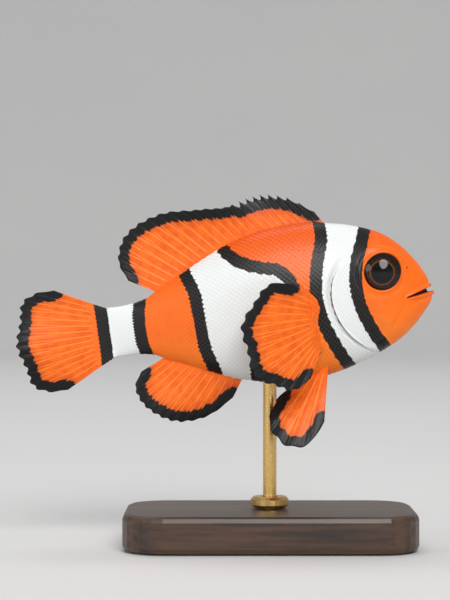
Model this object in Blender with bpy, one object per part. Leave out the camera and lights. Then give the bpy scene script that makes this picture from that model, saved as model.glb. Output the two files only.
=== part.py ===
"""A life-size orange clownfish (Amphiprion percula) swimming on a small display stand.

The fish is modelled in its own frame and then pitched nose up by the empty "fish_pose".
In the fish's frame +X is forward, +Y is its left side and +Z is its back.
Places on the fish are fractions of the standard length, snout tip to tail-fin root:
t runs backwards from the snout tip and h runs upwards from the body's axis.
"""

import math
from collections import namedtuple

import bmesh
import bpy
import numpy as np
from mathutils import Matrix, Vector

# Driving dimensions, in metres.
STANDARD_LENGTH = 0.072
KERF = 0.0003  # the gap that touching pieces keep
PITCH = math.radians(8.0)  # nose up

BASE_SIZE = Vector((0.064, 0.038, 0.008))
BASE_CORNER_RADIUS = 0.009
BASE_CORNER_STEPS = 6
BASE_EDGE_BEVEL = 0.0012
ROD_RADIUS = 0.0015
ROD_FOOT_DEPTH = 0.005  # how far the rod goes into the base
ROD_TOP_DEPTH = 0.005  # how far the rod goes into the belly
ROD_STATION = 0.53  # t of the belly point over the rod
COLLAR_RADIUS = 0.0042
COLLAR_HEIGHT = 0.0024
SNOUT_HEIGHT = 0.0565  # of the snout tip over the floor

# The body's outline: half extents at each station t, before the snout is rounded off.
Profile = namedtuple("Profile", "t top bottom half_width")
BODY = Profile(
    t=(0.0, 0.05, 0.10, 0.15, 0.20, 0.30, 0.40, 0.50, 0.60, 0.70, 0.80, 0.88, 0.94, 1.0),
    top=(0.116, 0.150, 0.176, 0.201, 0.221, 0.245, 0.252, 0.243, 0.217, 0.173, 0.123, 0.089, 0.079, 0.080),
    bottom=(0.092, 0.116, 0.138, 0.159, 0.180, 0.211, 0.226, 0.223, 0.199, 0.157, 0.111, 0.082, 0.075, 0.077),
    half_width=(
        *(0.060, 0.073, 0.082, 0.091, 0.098, 0.106, 0.105),
        *(0.096, 0.081, 0.062, 0.044, 0.031, 0.021, 0.010),
    ),
)
SNOUT_ROUNDING = 0.14  # t over which the snout closes to a round end
JAW_JUT = 0.007  # how far the chin stands in front of the upper lip
JAW_JUT_REACH = 0.04
JAW_JUT_RISE = 0.006  # the drop below the gape over which the chin comes forward
BACK_PINCH = 1.12  # above 1 the section narrows towards the back's ridge
BODY_STATIONS = 39
BODY_SIDES = 32

# The mouth, from the lip to the corner of the gape.
MOUTH_CORNER_T = 0.082
MOUTH_H = (0.0, -0.018)  # height at the lip and at the corner
GAPE = 0.011  # opening at the lips
JAW_HINGE = (0.135, -0.075)  # (t, h) under the eye
JAW_THROAT = (0.115, -0.24)

# The gill cover, between the cheek's edge and the gill opening, as (h, t) along each edge.
GILL_OPENING = (
    (-0.26, -0.17, -0.12, -0.02, 0.06, 0.13, 0.30),
    (0.16, 0.20, 0.257, 0.308, 0.302, 0.262, 0.225),
)
CHEEK_EDGE = ((-0.15, -0.11, -0.05, 0.02, 0.12), (0.168, 0.194, 0.216, 0.221, 0.214))
GILL_COVER_H = (-0.138, 0.115)
GILL_COVER_INNER_Y = 0.0050
TAIL_STALK_T = 0.862

EYE_T, EYE_H = 0.150, 0.068
EYE_RADIUS = 0.063
EYE_DEPTH_RADIUS = 0.031
EYE_BULGE = 0.0155  # how far the eye stands out of the cheek

# Fins. A share runs along a fin from 0 at its first ray to 1 at its last, and keys are
# (shares, values). Lengths and heights are fractions of the standard length, leans are
# degrees back from upright, and a wave is (metres, turns along the fin, phase).
DORSAL_SPINES, DORSAL_RAYS = 10, 15
DORSAL_BASE = (0.300, 0.836)  # t of the first and the last ray
DORSAL_HEIGHT = (
    (0, 0.06, 0.16, 0.30, 0.42, 0.54, 0.66, 0.78, 0.88, 0.95, 1.0),
    (0.045, 0.092, 0.122, 0.124, 0.116, 0.148, 0.206, 0.216, 0.192, 0.152, 0.094),
)
DORSAL_LEAN = ((0, 0.3, 0.6, 1.0), (32, 34, 40, 60))
DORSAL_LOBES = (0.035, 2.6, 0.4)
DORSAL_SOFT = DORSAL_SPINES / (DORSAL_SPINES + DORSAL_RAYS)  # the share where the spines end
DORSAL_LOBES_RISE = 0.12  # the share over which the soft part's lobes begin
DORSAL_WAVE = (0.0016, 1.5, 0.0)
ANAL_RAYS = 13
ANAL_BASE = (0.612, 0.838)
ANAL_HEIGHT = ((0, 0.1, 0.3, 0.55, 0.78, 0.91, 1.0), (0.062, 0.122, 0.182, 0.196, 0.172, 0.136, 0.084))
ANAL_LEAN = ((0, 0.5, 1.0), (34, 48, 66))
ANAL_WAVE = (0.0012, 1.1, 0.6)
CAUDAL_RAYS = 15
CAUDAL_ROOT = (0.985, 0.072)  # t of the root, and the height h of its top
CAUDAL_SPREAD = 27.0  # degrees up and down from the body's axis
CAUDAL_LENGTH = (
    (0, 0.05, 0.12, 0.30, 0.50, 0.70, 0.88, 0.95, 1.0),
    (0.184, 0.224, 0.256, 0.287, 0.290, 0.287, 0.256, 0.224, 0.184),
)
CAUDAL_LOBES = (0.022, 3.0, -0.5 * math.pi)
CAUDAL_WAVE = (0.0015, 1.25, 0.5)
PECTORAL_RAYS = 15
PECTORAL_ROOT = ((0.326, -0.012), (0.346, -0.100))  # (t, h) of the first and the last ray
PECTORAL_OUT = math.radians(30)  # the fin stands out from the flank
PECTORAL_TILT = math.radians(8)  # and its upper edge leans in
PECTORAL_SPREAD = (36, -58)  # degrees from straight back, upwards
PECTORAL_LENGTH = (
    (0, 0.05, 0.13, 0.27, 0.50, 0.75, 0.90, 1.0),
    (0.140, 0.188, 0.230, 0.266, 0.286, 0.250, 0.198, 0.138),
)
PECTORAL_LOBES = (0.03, 3.5, 0.2)
PECTORAL_CUP = -0.0022  # metres that the middle of its edge bends out
PELVIC_RAYS = 6
PELVIC_ROOT = ((0.345, 0.0031), (0.392, 0.0017))  # (t, metres from the keel) of the first and the last ray
PELVIC_SPLAY = math.radians(20)
PELVIC_SPREAD = (-76, -22)
PELVIC_LENGTH = (
    (0, 0.1, 0.25, 0.45, 0.65, 0.85, 1.0),
    (0.165, 0.224, 0.260, 0.258, 0.230, 0.178, 0.116),
)
PELVIC_CUP = 0.0012
SPINE_NOTCH, RAY_NOTCH = 0.16, 0.03  # how far the web falls short between two rays, as a share
WEB_HALF_THICKNESS = 0.00026
RAY_HALF_THICKNESS = 0.00042
ROOT_HALF_THICKNESS = 0.00075
ROOT_DEPTH = 0.0016  # how far a fin's root starts inside the body, before it is cut off


# ---------------------------------------------------------------- curves and the body's shape


def curve(x, keys, values):
    """A smooth curve through (keys, values), read at x."""
    keys, values = np.asarray(keys, float), np.asarray(values, float)
    slopes = np.gradient(values, keys)
    x = np.clip(np.asarray(x, float), keys[0], keys[-1])
    i = np.clip(np.searchsorted(keys, x) - 1, 0, len(keys) - 2)
    step = keys[i + 1] - keys[i]
    s = (x - keys[i]) / step
    start = (1 + 2 * s) * (1 - s) ** 2 * values[i] + s * (1 - s) ** 2 * step * slopes[i]
    end = s * s * (3 - 2 * s) * values[i + 1] + s * s * (s - 1) * step * slopes[i + 1]
    return start + end


def snout(t):
    """0 at the snout tip, rising on a quarter circle to 1 where the snout's rounding ends."""
    return np.sqrt(np.clip(1 - (1 - np.clip(t / SNOUT_ROUNDING, 0, 1)) ** 2, 0, 1))


def top(t):
    return curve(t, BODY.t, BODY.top) * snout(t)


def bottom(t):
    return curve(t, BODY.t, BODY.bottom) * snout(t)


def half_width(t):
    return curve(t, BODY.t, BODY.half_width) * snout(t)


def at(t, y, h):
    """A point in the fish's frame, in metres, from t and h; y is in metres already."""
    return Vector((-float(t) * STANDARD_LENGTH, float(y), float(h) * STANDARD_LENGTH))


def skin_point(t, angle, grow=0.0):
    """A point of the body's surface; angle 0 is its left side and a quarter turn is its back."""
    cos, sin = math.cos(angle), math.sin(angle)
    height = (top(t) if sin > 0 else bottom(t)) * STANDARD_LENGTH + grow
    pinch = BACK_PINCH if sin > 0 else 1.0
    side = math.copysign(abs(cos) ** pinch, cos)
    y = side * (half_width(t) * STANDARD_LENGTH + grow)
    drop = max(-sin, 0) * float(bottom(t))
    jut = JAW_JUT * (1 - math.exp(-drop / JAW_JUT_RISE)) * math.exp(-t / JAW_JUT_REACH)
    x = (jut - t) * STANDARD_LENGTH
    return Vector((x + grow * (1 - 2 * t), y, sin * height))


def skin_y(t, h):
    """Half the body's width at station t and height h, in metres."""
    limit = float(top(t) if h > 0 else bottom(t))
    rise = min(abs(h) / limit, 1.0)
    pinch = BACK_PINCH if h > 0 else 1.0
    return float(half_width(t)) * STANDARD_LENGTH * (1 - rise**2) ** (pinch / 2)


def belly_h(t, y):
    """The height h of the belly's skin at station t and y metres to the side."""
    return -float(bottom(t)) * math.sqrt(1 - (y / (float(half_width(t)) * STANDARD_LENGTH)) ** 2)


# ---------------------------------------------------------------- objects and materials


def material(name, colour, roughness, metallic=0.0):
    made = bpy.data.materials.new(name)
    made.use_nodes = True
    shader = made.node_tree.nodes["Principled BSDF"]
    shader.inputs["Base Color"].default_value = (*colour, 1.0)
    shader.inputs["Roughness"].default_value = roughness
    shader.inputs["Metallic"].default_value = metallic
    return made


def add_object(name, mesh, parent=None, finish=None):
    made = bpy.data.objects.new(name, mesh)
    bpy.context.scene.collection.objects.link(made)
    made.parent = parent
    if finish:
        mesh.materials.clear()
        mesh.materials.append(finish)
    return made


def mesh_from(points, faces, smooth=True):
    mesh = bpy.data.meshes.new("shape")
    mesh.from_pydata([tuple(p) for p in points], [], faces)
    shape = bmesh.new()
    shape.from_mesh(mesh)
    bmesh.ops.recalc_face_normals(shape, faces=shape.faces)
    shape.to_mesh(mesh)
    shape.free()
    if smooth:
        mesh.shade_smooth()
        mesh.set_sharp_from_angle(angle=math.radians(40))
    return mesh


def helper(name, mesh, parent=None):
    """A cutter or guide, which is no part of the model."""
    made = add_object(name, mesh, parent)
    made.hide_render = True
    made.display_type = "WIRE"
    return made


def boolean(obj, cutter, operation):
    step = obj.modifiers.new(cutter.name, "BOOLEAN")
    step.operation = operation
    step.solver = "EXACT"
    step.object = cutter


def prism(outline, low_y, high_y):
    """The (t, h) outline extruded across the fish."""
    points = [at(t, y, h) for y in (low_y, high_y) for t, h in outline]
    n = len(outline)
    sides = [(i, (i + 1) % n, n + (i + 1) % n, n + i) for i in range(n)]
    return mesh_from(points, [tuple(range(n)), tuple(range(n, 2 * n)), *sides], smooth=False)


# ---------------------------------------------------------------- flesh


def body_mesh(grow=0.0):
    """The whole body as one closed surface, from the snout tip to the root of the tail fin."""
    stations = (np.arange(1, BODY_STATIONS + 1) / BODY_STATIONS) ** 1.6
    angles = [2 * math.pi * (i + 0.5) / BODY_SIDES for i in range(BODY_SIDES)]
    points = [skin_point(0.0, 0.0, grow)]
    points += [skin_point(t, angle, grow) for t in stations for angle in angles]
    n = BODY_SIDES
    faces = [(0, 1 + (i + 1) % n, 1 + i) for i in range(n)]
    for ring in range(len(stations) - 1):
        a, b = 1 + ring * n, 1 + (ring + 1) * n
        faces += [(a + i, a + (i + 1) % n, b + (i + 1) % n, b + i) for i in range(n)]
    last = 1 + (len(stations) - 1) * n
    faces.append(tuple(range(last, last + n)))
    return mesh_from(points, faces)


def edge_line(edge, shift, low, high, count=13):
    """(t, h) points down an edge given as (h, t) keys, moved by shift metres towards the tail."""
    heights = np.linspace(high, low, count)
    places = curve(heights, *edge) + shift / STANDARD_LENGTH
    return list(zip(places, heights))


def gill_cover_outline(grow):
    low, high = GILL_COVER_H[0] - grow / STANDARD_LENGTH, GILL_COVER_H[1] + grow / STANDARD_LENGTH
    front = edge_line(CHEEK_EDGE, -grow, low, high)
    rear = edge_line(GILL_OPENING, KERF, low, high)
    return front + rear[::-1]


def mouth_line(shift, gape_share):
    """(t, h) points along one lip, from in front of the snout back to the corner of the gape."""
    line = []
    for t in np.linspace(-0.03, MOUTH_CORNER_T, 6):
        back = max(t, 0.0) / MOUTH_CORNER_T
        h = MOUTH_H[0] + (MOUTH_H[1] - MOUTH_H[0]) * back
        line.append((t, h + gape_share * GAPE * (1 - back) + shift / STANDARD_LENGTH))
    return line


def jaw_outline(grow, gape_share):
    """The lower jaw: the lip, the cut down from the corner of the gape, and the chin."""
    back = grow / STANDARD_LENGTH
    hinge = (JAW_HINGE[0] + back, JAW_HINGE[1] + back)
    throat = (JAW_THROAT[0] + back, JAW_THROAT[1])
    return [*mouth_line(grow, gape_share), hinge, throat, (-0.03, JAW_THROAT[1])]


def add_flesh(parent, finish):
    """Head, lower jaw, gill covers, trunk and tail stalk, parted from one body by thin cuts."""
    reach = 0.02
    high, low = 0.5, -0.5
    nodes = {}
    for name in ("head", "lower_jaw", "gill_cover_left", "gill_cover_right", "trunk", "tail_stalk"):
        nodes[name] = add_object(name, body_mesh(), parent, finish)

    opening = edge_line(GILL_OPENING, -KERF / 2, low, high, count=41)
    before = helper("before_gills", prism([(-0.1, high), (-0.1, low), *opening[::-1]], -reach, reach), parent)
    boolean(nodes["head"], before, "INTERSECT")
    opening = edge_line(GILL_OPENING, KERF / 2, low, high, count=41)
    stalk = TAIL_STALK_T - KERF / 2 / STANDARD_LENGTH
    middle = helper("middle", prism([*opening, (stalk, low), (stalk, high)], -reach, reach), parent)
    boolean(nodes["trunk"], middle, "INTERSECT")
    stalk = TAIL_STALK_T + KERF / 2 / STANDARD_LENGTH
    box = [(stalk, high), (stalk, low), (1.2, low), (1.2, high)]
    boolean(nodes["tail_stalk"], helper("rear", prism(box, -reach, reach), parent), "INTERSECT")

    jaw = helper("jaw_region", prism(jaw_outline(0.0, -0.5), -reach, reach), parent)
    boolean(nodes["lower_jaw"], jaw, "INTERSECT")
    jaw = helper("jaw_space", prism(jaw_outline(KERF, 0.5), -reach, reach), parent)
    boolean(nodes["head"], jaw, "DIFFERENCE")

    cover_outline = gill_cover_outline(-KERF / 2)
    for side, sign in (("left", 1), ("right", -1)):
        inner, outer = sign * GILL_COVER_INNER_Y, sign * reach
        rear = [float(curve(h, *GILL_OPENING)) - KERF / 2 / STANDARD_LENGTH for t, h in cover_outline]
        outline = [(min(t, limit), h) for (t, h), limit in zip(cover_outline, rear)]
        cover = prism(outline, inner, outer)
        cover = helper("cover_region_" + side, cover, parent)
        boolean(nodes["gill_cover_" + side], cover, "INTERSECT")
        space = prism(gill_cover_outline(KERF / 2), inner - sign * KERF, outer)
        boolean(nodes["head"], helper("cover_space_" + side, space, parent), "DIFFERENCE")
    return nodes


# ---------------------------------------------------------------- eyes


def eye_mesh(grow):
    mesh = bpy.data.meshes.new("eye")
    shape = bmesh.new()
    bmesh.ops.create_uvsphere(shape, u_segments=20, v_segments=12, radius=1.0)
    radius = EYE_RADIUS * STANDARD_LENGTH + grow
    depth = EYE_DEPTH_RADIUS * STANDARD_LENGTH + grow
    bmesh.ops.scale(shape, vec=(radius, radius, depth), verts=shape.verts)
    bmesh.ops.rotate(shape, matrix=Matrix.Rotation(math.pi / 2, 3, "X"), verts=shape.verts)
    shape.to_mesh(mesh)
    shape.free()
    mesh.shade_smooth()
    return mesh


def add_eyes(parent, head, finish):
    for side, sign in (("left", 1), ("right", -1)):
        y = skin_y(EYE_T, EYE_H) + (EYE_BULGE - EYE_DEPTH_RADIUS) * STANDARD_LENGTH
        eye = add_object("eye_" + side, eye_mesh(0.0), parent, finish)
        socket = helper("socket_" + side, eye_mesh(KERF), parent)
        eye.location = socket.location = at(EYE_T, sign * y, EYE_H)
        boolean(head, socket, "DIFFERENCE")


# ---------------------------------------------------------------- fins


# One ray of a fin: the point where it leaves the skin, the way it points, its length in
# metres, the unit vector across the fin, how far its tip is carried off along that vector,
# and the way from its base to its root inside the body.
Ray = namedtuple("Ray", "base way length side bend bury")
ACROSS = Vector((0, 1, 0))


def wave(share, height, turns, phase):
    return height * math.sin(2 * math.pi * turns * share + phase)


def median_ray(share, base, height, lean, up):
    """A ray of a fin on the midline; up is 1 on the back and -1 on the belly."""
    t = base[0] + (base[1] - base[0]) * share
    angle = math.radians(float(curve(share, *lean)))
    way = Vector((-math.sin(angle), 0, up * math.cos(angle)))
    foot = at(t, 0, top(t) if up > 0 else -bottom(t))
    return Ray(foot, way, float(curve(share, *height)) * STANDARD_LENGTH, ACROSS, 0, -way)


def dorsal_ray(share):
    ray = median_ray(share, DORSAL_BASE, DORSAL_HEIGHT, DORSAL_LEAN, 1)
    lobes = 1 + wave(share, *DORSAL_LOBES) * min(max(share - DORSAL_SOFT, 0) / DORSAL_LOBES_RISE, 1)
    bend = wave(share, *DORSAL_WAVE) * min(1.0, 2.5 * share)
    return ray._replace(length=ray.length * lobes, bend=bend)


def anal_ray(share):
    ray = median_ray(share, ANAL_BASE, ANAL_HEIGHT, ANAL_LEAN, -1)
    return ray._replace(bend=wave(share, *ANAL_WAVE))


def caudal_ray(share):
    across = 1 - 2 * share
    angle = math.radians(CAUDAL_SPREAD * across)
    way = Vector((-math.cos(angle), 0, math.sin(angle)))
    foot = at(CAUDAL_ROOT[0], 0, CAUDAL_ROOT[1] * across)
    length = float(curve(share, *CAUDAL_LENGTH)) * (1 + wave(share, *CAUDAL_LOBES))
    return Ray(foot, way, length * STANDARD_LENGTH, ACROSS, wave(share, *CAUDAL_WAVE), Vector())


def fan_ray(share, roots, plane, inward, spread, length, cup):
    """A ray of a paired fin, whose plane is given by the unit vectors (back, up)."""
    back, up = plane
    angle = math.radians(spread[0] + (spread[1] - spread[0]) * share)
    way = back * math.cos(angle) + up * math.sin(angle)
    bend = cup * math.sin(math.pi * share)
    across = back.cross(up).normalized()
    return Ray(roots[0].lerp(roots[1], share), way, length * STANDARD_LENGTH, across, bend, inward)


def pectoral_ray(share, sign):
    """A ray of the left pectoral fin if sign is 1, or of the right one if it is -1."""
    roots = [at(t, sign * skin_y(t, h), h) for t, h in PECTORAL_ROOT]
    back = Vector((-math.cos(PECTORAL_OUT), sign * math.sin(PECTORAL_OUT), 0))
    up = Vector((0, -sign * math.sin(PECTORAL_TILT), 1)).normalized()
    inward = Vector((0, -sign, 0))
    length = float(curve(share, *PECTORAL_LENGTH)) * (1 + wave(share, *PECTORAL_LOBES))
    return fan_ray(share, roots, (back, up), inward, PECTORAL_SPREAD, length, sign * PECTORAL_CUP)


def pelvic_ray(share, sign):
    """A ray of the left pelvic fin if sign is 1, or of the right one if it is -1."""
    roots = [at(t, sign * y, belly_h(t, y)) for t, y in PELVIC_ROOT]
    back = Vector((-1, 0, 0))
    up = Vector((0, -sign * math.sin(PELVIC_SPLAY), math.cos(PELVIC_SPLAY)))
    inward = Vector((0, 0, 1))
    length = float(curve(share, *PELVIC_LENGTH))
    return fan_ray(share, roots, (back, up), inward, PELVIC_SPREAD, length, sign * PELVIC_CUP)


def fin_mesh(ray_at, rays, spines=0, rows=3):
    """A fin as a closed plate with a raised ray at every other column and web between."""
    columns = 2 * rays - 1
    rings = np.linspace(0, 1, rows + 1)
    points = []
    for layer in (1, -1):
        for i in range(columns):
            is_web = i % 2
            ray = ray_at(i / (columns - 1))
            notch = is_web * (SPINE_NOTCH if i < 2 * spines - 1 else RAY_NOTCH)
            root = ray.base + ray.bury * ROOT_DEPTH
            tip = ray.base + ray.way * ray.length * (1 - notch)
            edge = WEB_HALF_THICKNESS if is_web else RAY_HALF_THICKNESS
            for v in rings:
                taper = (1 - v) ** (3 if is_web else 1)
                half = edge + (ROOT_HALF_THICKNESS - edge) * taper if v < 1 else WEB_HALF_THICKNESS
                points.append(root.lerp(tip, v) + ray.side * (ray.bend * v * v + layer * half))
    m = rows + 1
    under = columns * m
    faces = []
    for layer in (0, under):
        for i in range(columns - 1):
            for j in range(rows):
                a = layer + i * m + j
                faces.append((a, a + m, a + m + 1, a + 1))
    rim = [i * m for i in range(columns)]
    rim += [(columns - 1) * m + j for j in range(1, m)]
    rim += [i * m + rows for i in range(columns - 2, -1, -1)]
    rim += list(range(rows - 1, 0, -1))
    faces += [(a, b, under + b, under + a) for a, b in zip(rim, rim[1:] + rim[:1])]
    return mesh_from(points, faces)


def add_fins(parent, finish):
    grown = helper("body_space", body_mesh(KERF), parent)
    meshes = {
        "dorsal_fin": fin_mesh(dorsal_ray, DORSAL_SPINES + DORSAL_RAYS, DORSAL_SPINES),
        "anal_fin": fin_mesh(anal_ray, ANAL_RAYS),
        "caudal_fin": fin_mesh(caudal_ray, CAUDAL_RAYS),
    }
    for side, sign in (("left", 1), ("right", -1)):
        meshes["pectoral_fin_" + side] = fin_mesh(lambda share: pectoral_ray(share, sign), PECTORAL_RAYS)
        meshes["pelvic_fin_" + side] = fin_mesh(lambda share: pelvic_ray(share, sign), PELVIC_RAYS)
    for name, mesh in meshes.items():
        fin = add_object(name, mesh, parent, finish)
        boolean(fin, grown, "DIFFERENCE")


# ---------------------------------------------------------------- stand


def cylinder_mesh(radius, low, high, sides=24):
    mesh = bpy.data.meshes.new("cylinder")
    shape = bmesh.new()
    sizes = {"radius1": radius, "radius2": radius, "depth": high - low}
    bmesh.ops.create_cone(shape, cap_ends=True, segments=sides, **sizes)
    bmesh.ops.translate(shape, vec=(0, 0, (low + high) / 2), verts=shape.verts)
    shape.to_mesh(mesh)
    shape.free()
    mesh.shade_smooth()
    mesh.set_sharp_from_angle(angle=math.radians(40))
    return mesh


def base_mesh():
    """A plate with round corners, standing on the floor."""
    outline = []
    inset = Vector((BASE_SIZE.x / 2 - BASE_CORNER_RADIUS, BASE_SIZE.y / 2 - BASE_CORNER_RADIUS, 0))
    for corner, (x, y) in enumerate(((1, 1), (-1, 1), (-1, -1), (1, -1))):
        centre = Vector((x * inset.x, y * inset.y, 0))
        for step in range(BASE_CORNER_STEPS + 1):
            angle = math.pi / 2 * (corner + step / BASE_CORNER_STEPS)
            outline.append(centre + BASE_CORNER_RADIUS * Vector((math.cos(angle), math.sin(angle), 0)))
    n = len(outline)
    points = outline + [p + Vector((0, 0, BASE_SIZE.z)) for p in outline]
    sides = [(i, (i + 1) % n, n + (i + 1) % n, n + i) for i in range(n)]
    return mesh_from(points, [tuple(range(n)), tuple(range(n, 2 * n)), *sides])


def belly_over_rod(pose):
    """The height of the belly's skin over the rod, above the floor."""
    return (pose @ at(ROD_STATION, 0, -bottom(ROD_STATION))).z


def add_stand(pose, trunk, wood, metal):
    base = add_object("stand_base", base_mesh(), finish=wood)
    bevel = base.modifiers.new("edges", "BEVEL")
    bevel.width = BASE_EDGE_BEVEL
    bevel.segments = 2
    bevel.angle_limit = math.radians(60)
    foot = BASE_SIZE.z - ROD_FOOT_DEPTH
    hole = helper("foot_hole", cylinder_mesh(ROD_RADIUS + KERF, foot, 2 * BASE_SIZE.z))
    boolean(base, hole, "DIFFERENCE")

    rod_top = belly_over_rod(pose) + ROD_TOP_DEPTH
    add_object("stand_rod", cylinder_mesh(ROD_RADIUS, foot + KERF, rod_top), finish=metal)
    socket = helper("rod_socket", cylinder_mesh(ROD_RADIUS + KERF, foot, rod_top + KERF))
    boolean(trunk, socket, "DIFFERENCE")

    low = BASE_SIZE.z + KERF
    collar = add_object("stand_collar", cylinder_mesh(COLLAR_RADIUS, low, low + COLLAR_HEIGHT), finish=metal)
    bevel = collar.modifiers.new("edges", "BEVEL")
    bevel.width = COLLAR_HEIGHT / 4
    bevel.segments = 1
    bevel.angle_limit = math.radians(60)
    boolean(collar, helper("collar_bore", cylinder_mesh(ROD_RADIUS + KERF, 0, 3 * BASE_SIZE.z)), "DIFFERENCE")


# ---------------------------------------------------------------- the model


def clear_scene():
    for obj in list(bpy.data.objects):
        bpy.data.objects.remove(obj, do_unlink=True)


def add_pose():
    """The empty that pitches the fish and sets it over the rod."""
    pose = bpy.data.objects.new("fish_pose", None)
    bpy.context.scene.collection.objects.link(pose)
    turn = Matrix.Rotation(-PITCH, 4, "Y")
    over_rod = turn @ at(ROD_STATION, 0, -bottom(ROD_STATION))
    pose.rotation_euler = (0, -PITCH, 0)
    pose.location = (-over_rod.x, 0, SNOUT_HEIGHT)
    return pose, Matrix.Translation(pose.location) @ turn


def main():
    clear_scene()
    skin = material("skin", (0.98, 0.21, 0.016), 0.4)
    fin = material("fin", (0.95, 0.20, 0.015), 0.45)
    eye = material("eye", (0.012, 0.011, 0.010), 0.08)
    wood = material("dark_wood", (0.055, 0.028, 0.014), 0.4)
    metal = material("brass", (0.72, 0.50, 0.20), 0.3, metallic=1.0)

    parent, pose = add_pose()
    nodes = add_flesh(parent, skin)
    add_eyes(parent, nodes["head"], eye)
    add_fins(parent, fin)
    add_stand(pose, nodes["trunk"], wood, metal)


main()
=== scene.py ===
"""The looks of a life-size orange clownfish swimming on a small display stand.

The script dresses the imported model: one skin over the flesh, scales lying on it, eyes, rayed
fins and the stand. The fish is shaped in its own frame, where +X is forward, +Y is its left
side and +Z is its back, and is then carried to its place over the stand. Places on the fish
are fractions of the standard length, snout tip to tail-fin root: t runs backwards from the
snout tip and h runs upwards from the body's axis. Names ending in _MM are in millimetres,
as are the distances that the markings and the skin's relief are worked out from.
"""

import math
from collections import namedtuple
from functools import partial

import bpy
import numpy as np
from mathutils import Matrix, Vector


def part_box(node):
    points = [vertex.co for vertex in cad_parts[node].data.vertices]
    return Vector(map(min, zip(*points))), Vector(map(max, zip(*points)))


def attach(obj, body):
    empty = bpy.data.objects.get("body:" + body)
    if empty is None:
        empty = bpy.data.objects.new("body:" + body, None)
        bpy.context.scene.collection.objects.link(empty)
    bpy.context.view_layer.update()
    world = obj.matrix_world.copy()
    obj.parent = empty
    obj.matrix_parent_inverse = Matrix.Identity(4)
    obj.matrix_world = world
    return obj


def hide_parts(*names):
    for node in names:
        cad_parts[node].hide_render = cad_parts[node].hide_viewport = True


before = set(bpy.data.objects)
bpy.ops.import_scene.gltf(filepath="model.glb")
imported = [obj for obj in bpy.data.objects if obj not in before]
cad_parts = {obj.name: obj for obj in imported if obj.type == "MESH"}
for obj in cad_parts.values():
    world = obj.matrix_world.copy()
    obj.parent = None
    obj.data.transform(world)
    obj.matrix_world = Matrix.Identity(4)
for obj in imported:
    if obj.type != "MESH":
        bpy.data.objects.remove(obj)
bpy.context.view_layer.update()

# ---- sizes

LENGTH = 0.072  # the standard length, snout tip to tail-fin root
LENGTH_MM = 1000 * LENGTH
PITCH = math.radians(8.0)  # nose up
COAT_MM = 0.14  # how far the skin lies inside the solids, under the scales
SIDES = (("left", 1), ("right", -1))

# The body's outline: half extents at each station t, before the snout is rounded off.
Profile = namedtuple("Profile", "t top bottom half")
BODY = Profile(
    t=(0.0, 0.05, 0.10, 0.15, 0.20, 0.30, 0.40, 0.50, 0.60, 0.70, 0.80, 0.88, 0.94, 1.0),
    top=(0.116, 0.150, 0.176, 0.201, 0.221, 0.245, 0.252, 0.243, 0.217, 0.173, 0.123, 0.089, 0.079, 0.080),
    bottom=(0.092, 0.116, 0.138, 0.159, 0.180, 0.211, 0.226, 0.223, 0.199, 0.157, 0.111, 0.082, 0.075, 0.077),
    half=(0.060, 0.073, 0.082, 0.091, 0.098, 0.106, 0.105, 0.096, 0.081, 0.062, 0.044, 0.031, 0.021, 0.010),
)
SNOUT_ROUNDING = 0.14
JAW_JUT, JAW_JUT_REACH, JAW_JUT_RISE = 0.007, 0.04, 0.006
BACK_PINCH = 1.12

# The head, from here on as (h, t) curves for lines that run down it.
MOUTH_CORNER_T = 0.082
MOUTH_H = (0.0, -0.018)  # of the gape's middle, at the snout tip and at the corner
GAPE = 0.011
CHEEK_EDGE = ((-0.15, -0.11, -0.05, 0.02, 0.12), (0.168, 0.194, 0.216, 0.221, 0.214))
GILL_OPENING = (
    (-0.26, -0.17, -0.12, -0.02, 0.06, 0.13, 0.30),
    (0.16, 0.20, 0.257, 0.308, 0.302, 0.262, 0.225),
)
GILL_PATCH_MIDDLE = 0.25  # mm behind the gill cover's edge
NOSTRIL = (0.072, 0.072)
FACE_CREASES = (  # depth in mm, from, to, width in mm
    (0.12, (0.090, -0.036), (0.135, -0.100), 0.35),
    (0.07, (0.090, -0.012), (0.150, -0.018), 0.45),
)
PAD_SOFT, PAD_REACH = 0.36, 18.0
EYE_T, EYE_H = 0.150, 0.068
EYE_RADIUS, EYE_DEPTH_RADIUS, EYE_BULGE = 0.063, 0.031, 0.0155

# Fins. A share runs along a fin from 0 at its first ray to 1 at its last, and keys are
# (shares, values). Lengths and heights are fractions of the standard length, leans are
# degrees back from upright, and a wave is (metres, turns along the fin, phase).
DORSAL_SPINES, DORSAL_RAYS = 10, 15
DORSAL_BASE = (0.300, 0.836)
DORSAL_HEIGHT = (
    (0, 0.06, 0.16, 0.30, 0.42, 0.54, 0.66, 0.78, 0.88, 0.95, 1.0),
    (0.045, 0.092, 0.122, 0.124, 0.116, 0.148, 0.206, 0.216, 0.192, 0.152, 0.094),
)
DORSAL_LEAN = ((0, 0.3, 0.6, 1.0), (32, 34, 40, 60))
DORSAL_LOBES = (0.035, 2.6, 0.4)
DORSAL_SOFT = DORSAL_SPINES / (DORSAL_SPINES + DORSAL_RAYS)
DORSAL_LOBES_RISE = 0.12
DORSAL_WAVE = (0.0016, 1.5, 0.0)
ANAL_RAYS = 13
ANAL_BASE = (0.612, 0.838)
ANAL_HEIGHT = ((0, 0.1, 0.3, 0.55, 0.78, 0.91, 1.0), (0.062, 0.122, 0.182, 0.196, 0.172, 0.136, 0.084))
ANAL_LEAN = ((0, 0.5, 1.0), (34, 48, 66))
ANAL_WAVE = (0.0012, 1.1, 0.6)
CAUDAL_RAYS = 15
CAUDAL_ROOT = (0.985, 0.072)
CAUDAL_SPREAD = 27.0
CAUDAL_LENGTH = (
    (0, 0.05, 0.12, 0.30, 0.50, 0.70, 0.88, 0.95, 1.0),
    (0.184, 0.224, 0.256, 0.287, 0.290, 0.287, 0.256, 0.224, 0.184),
)
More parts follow.
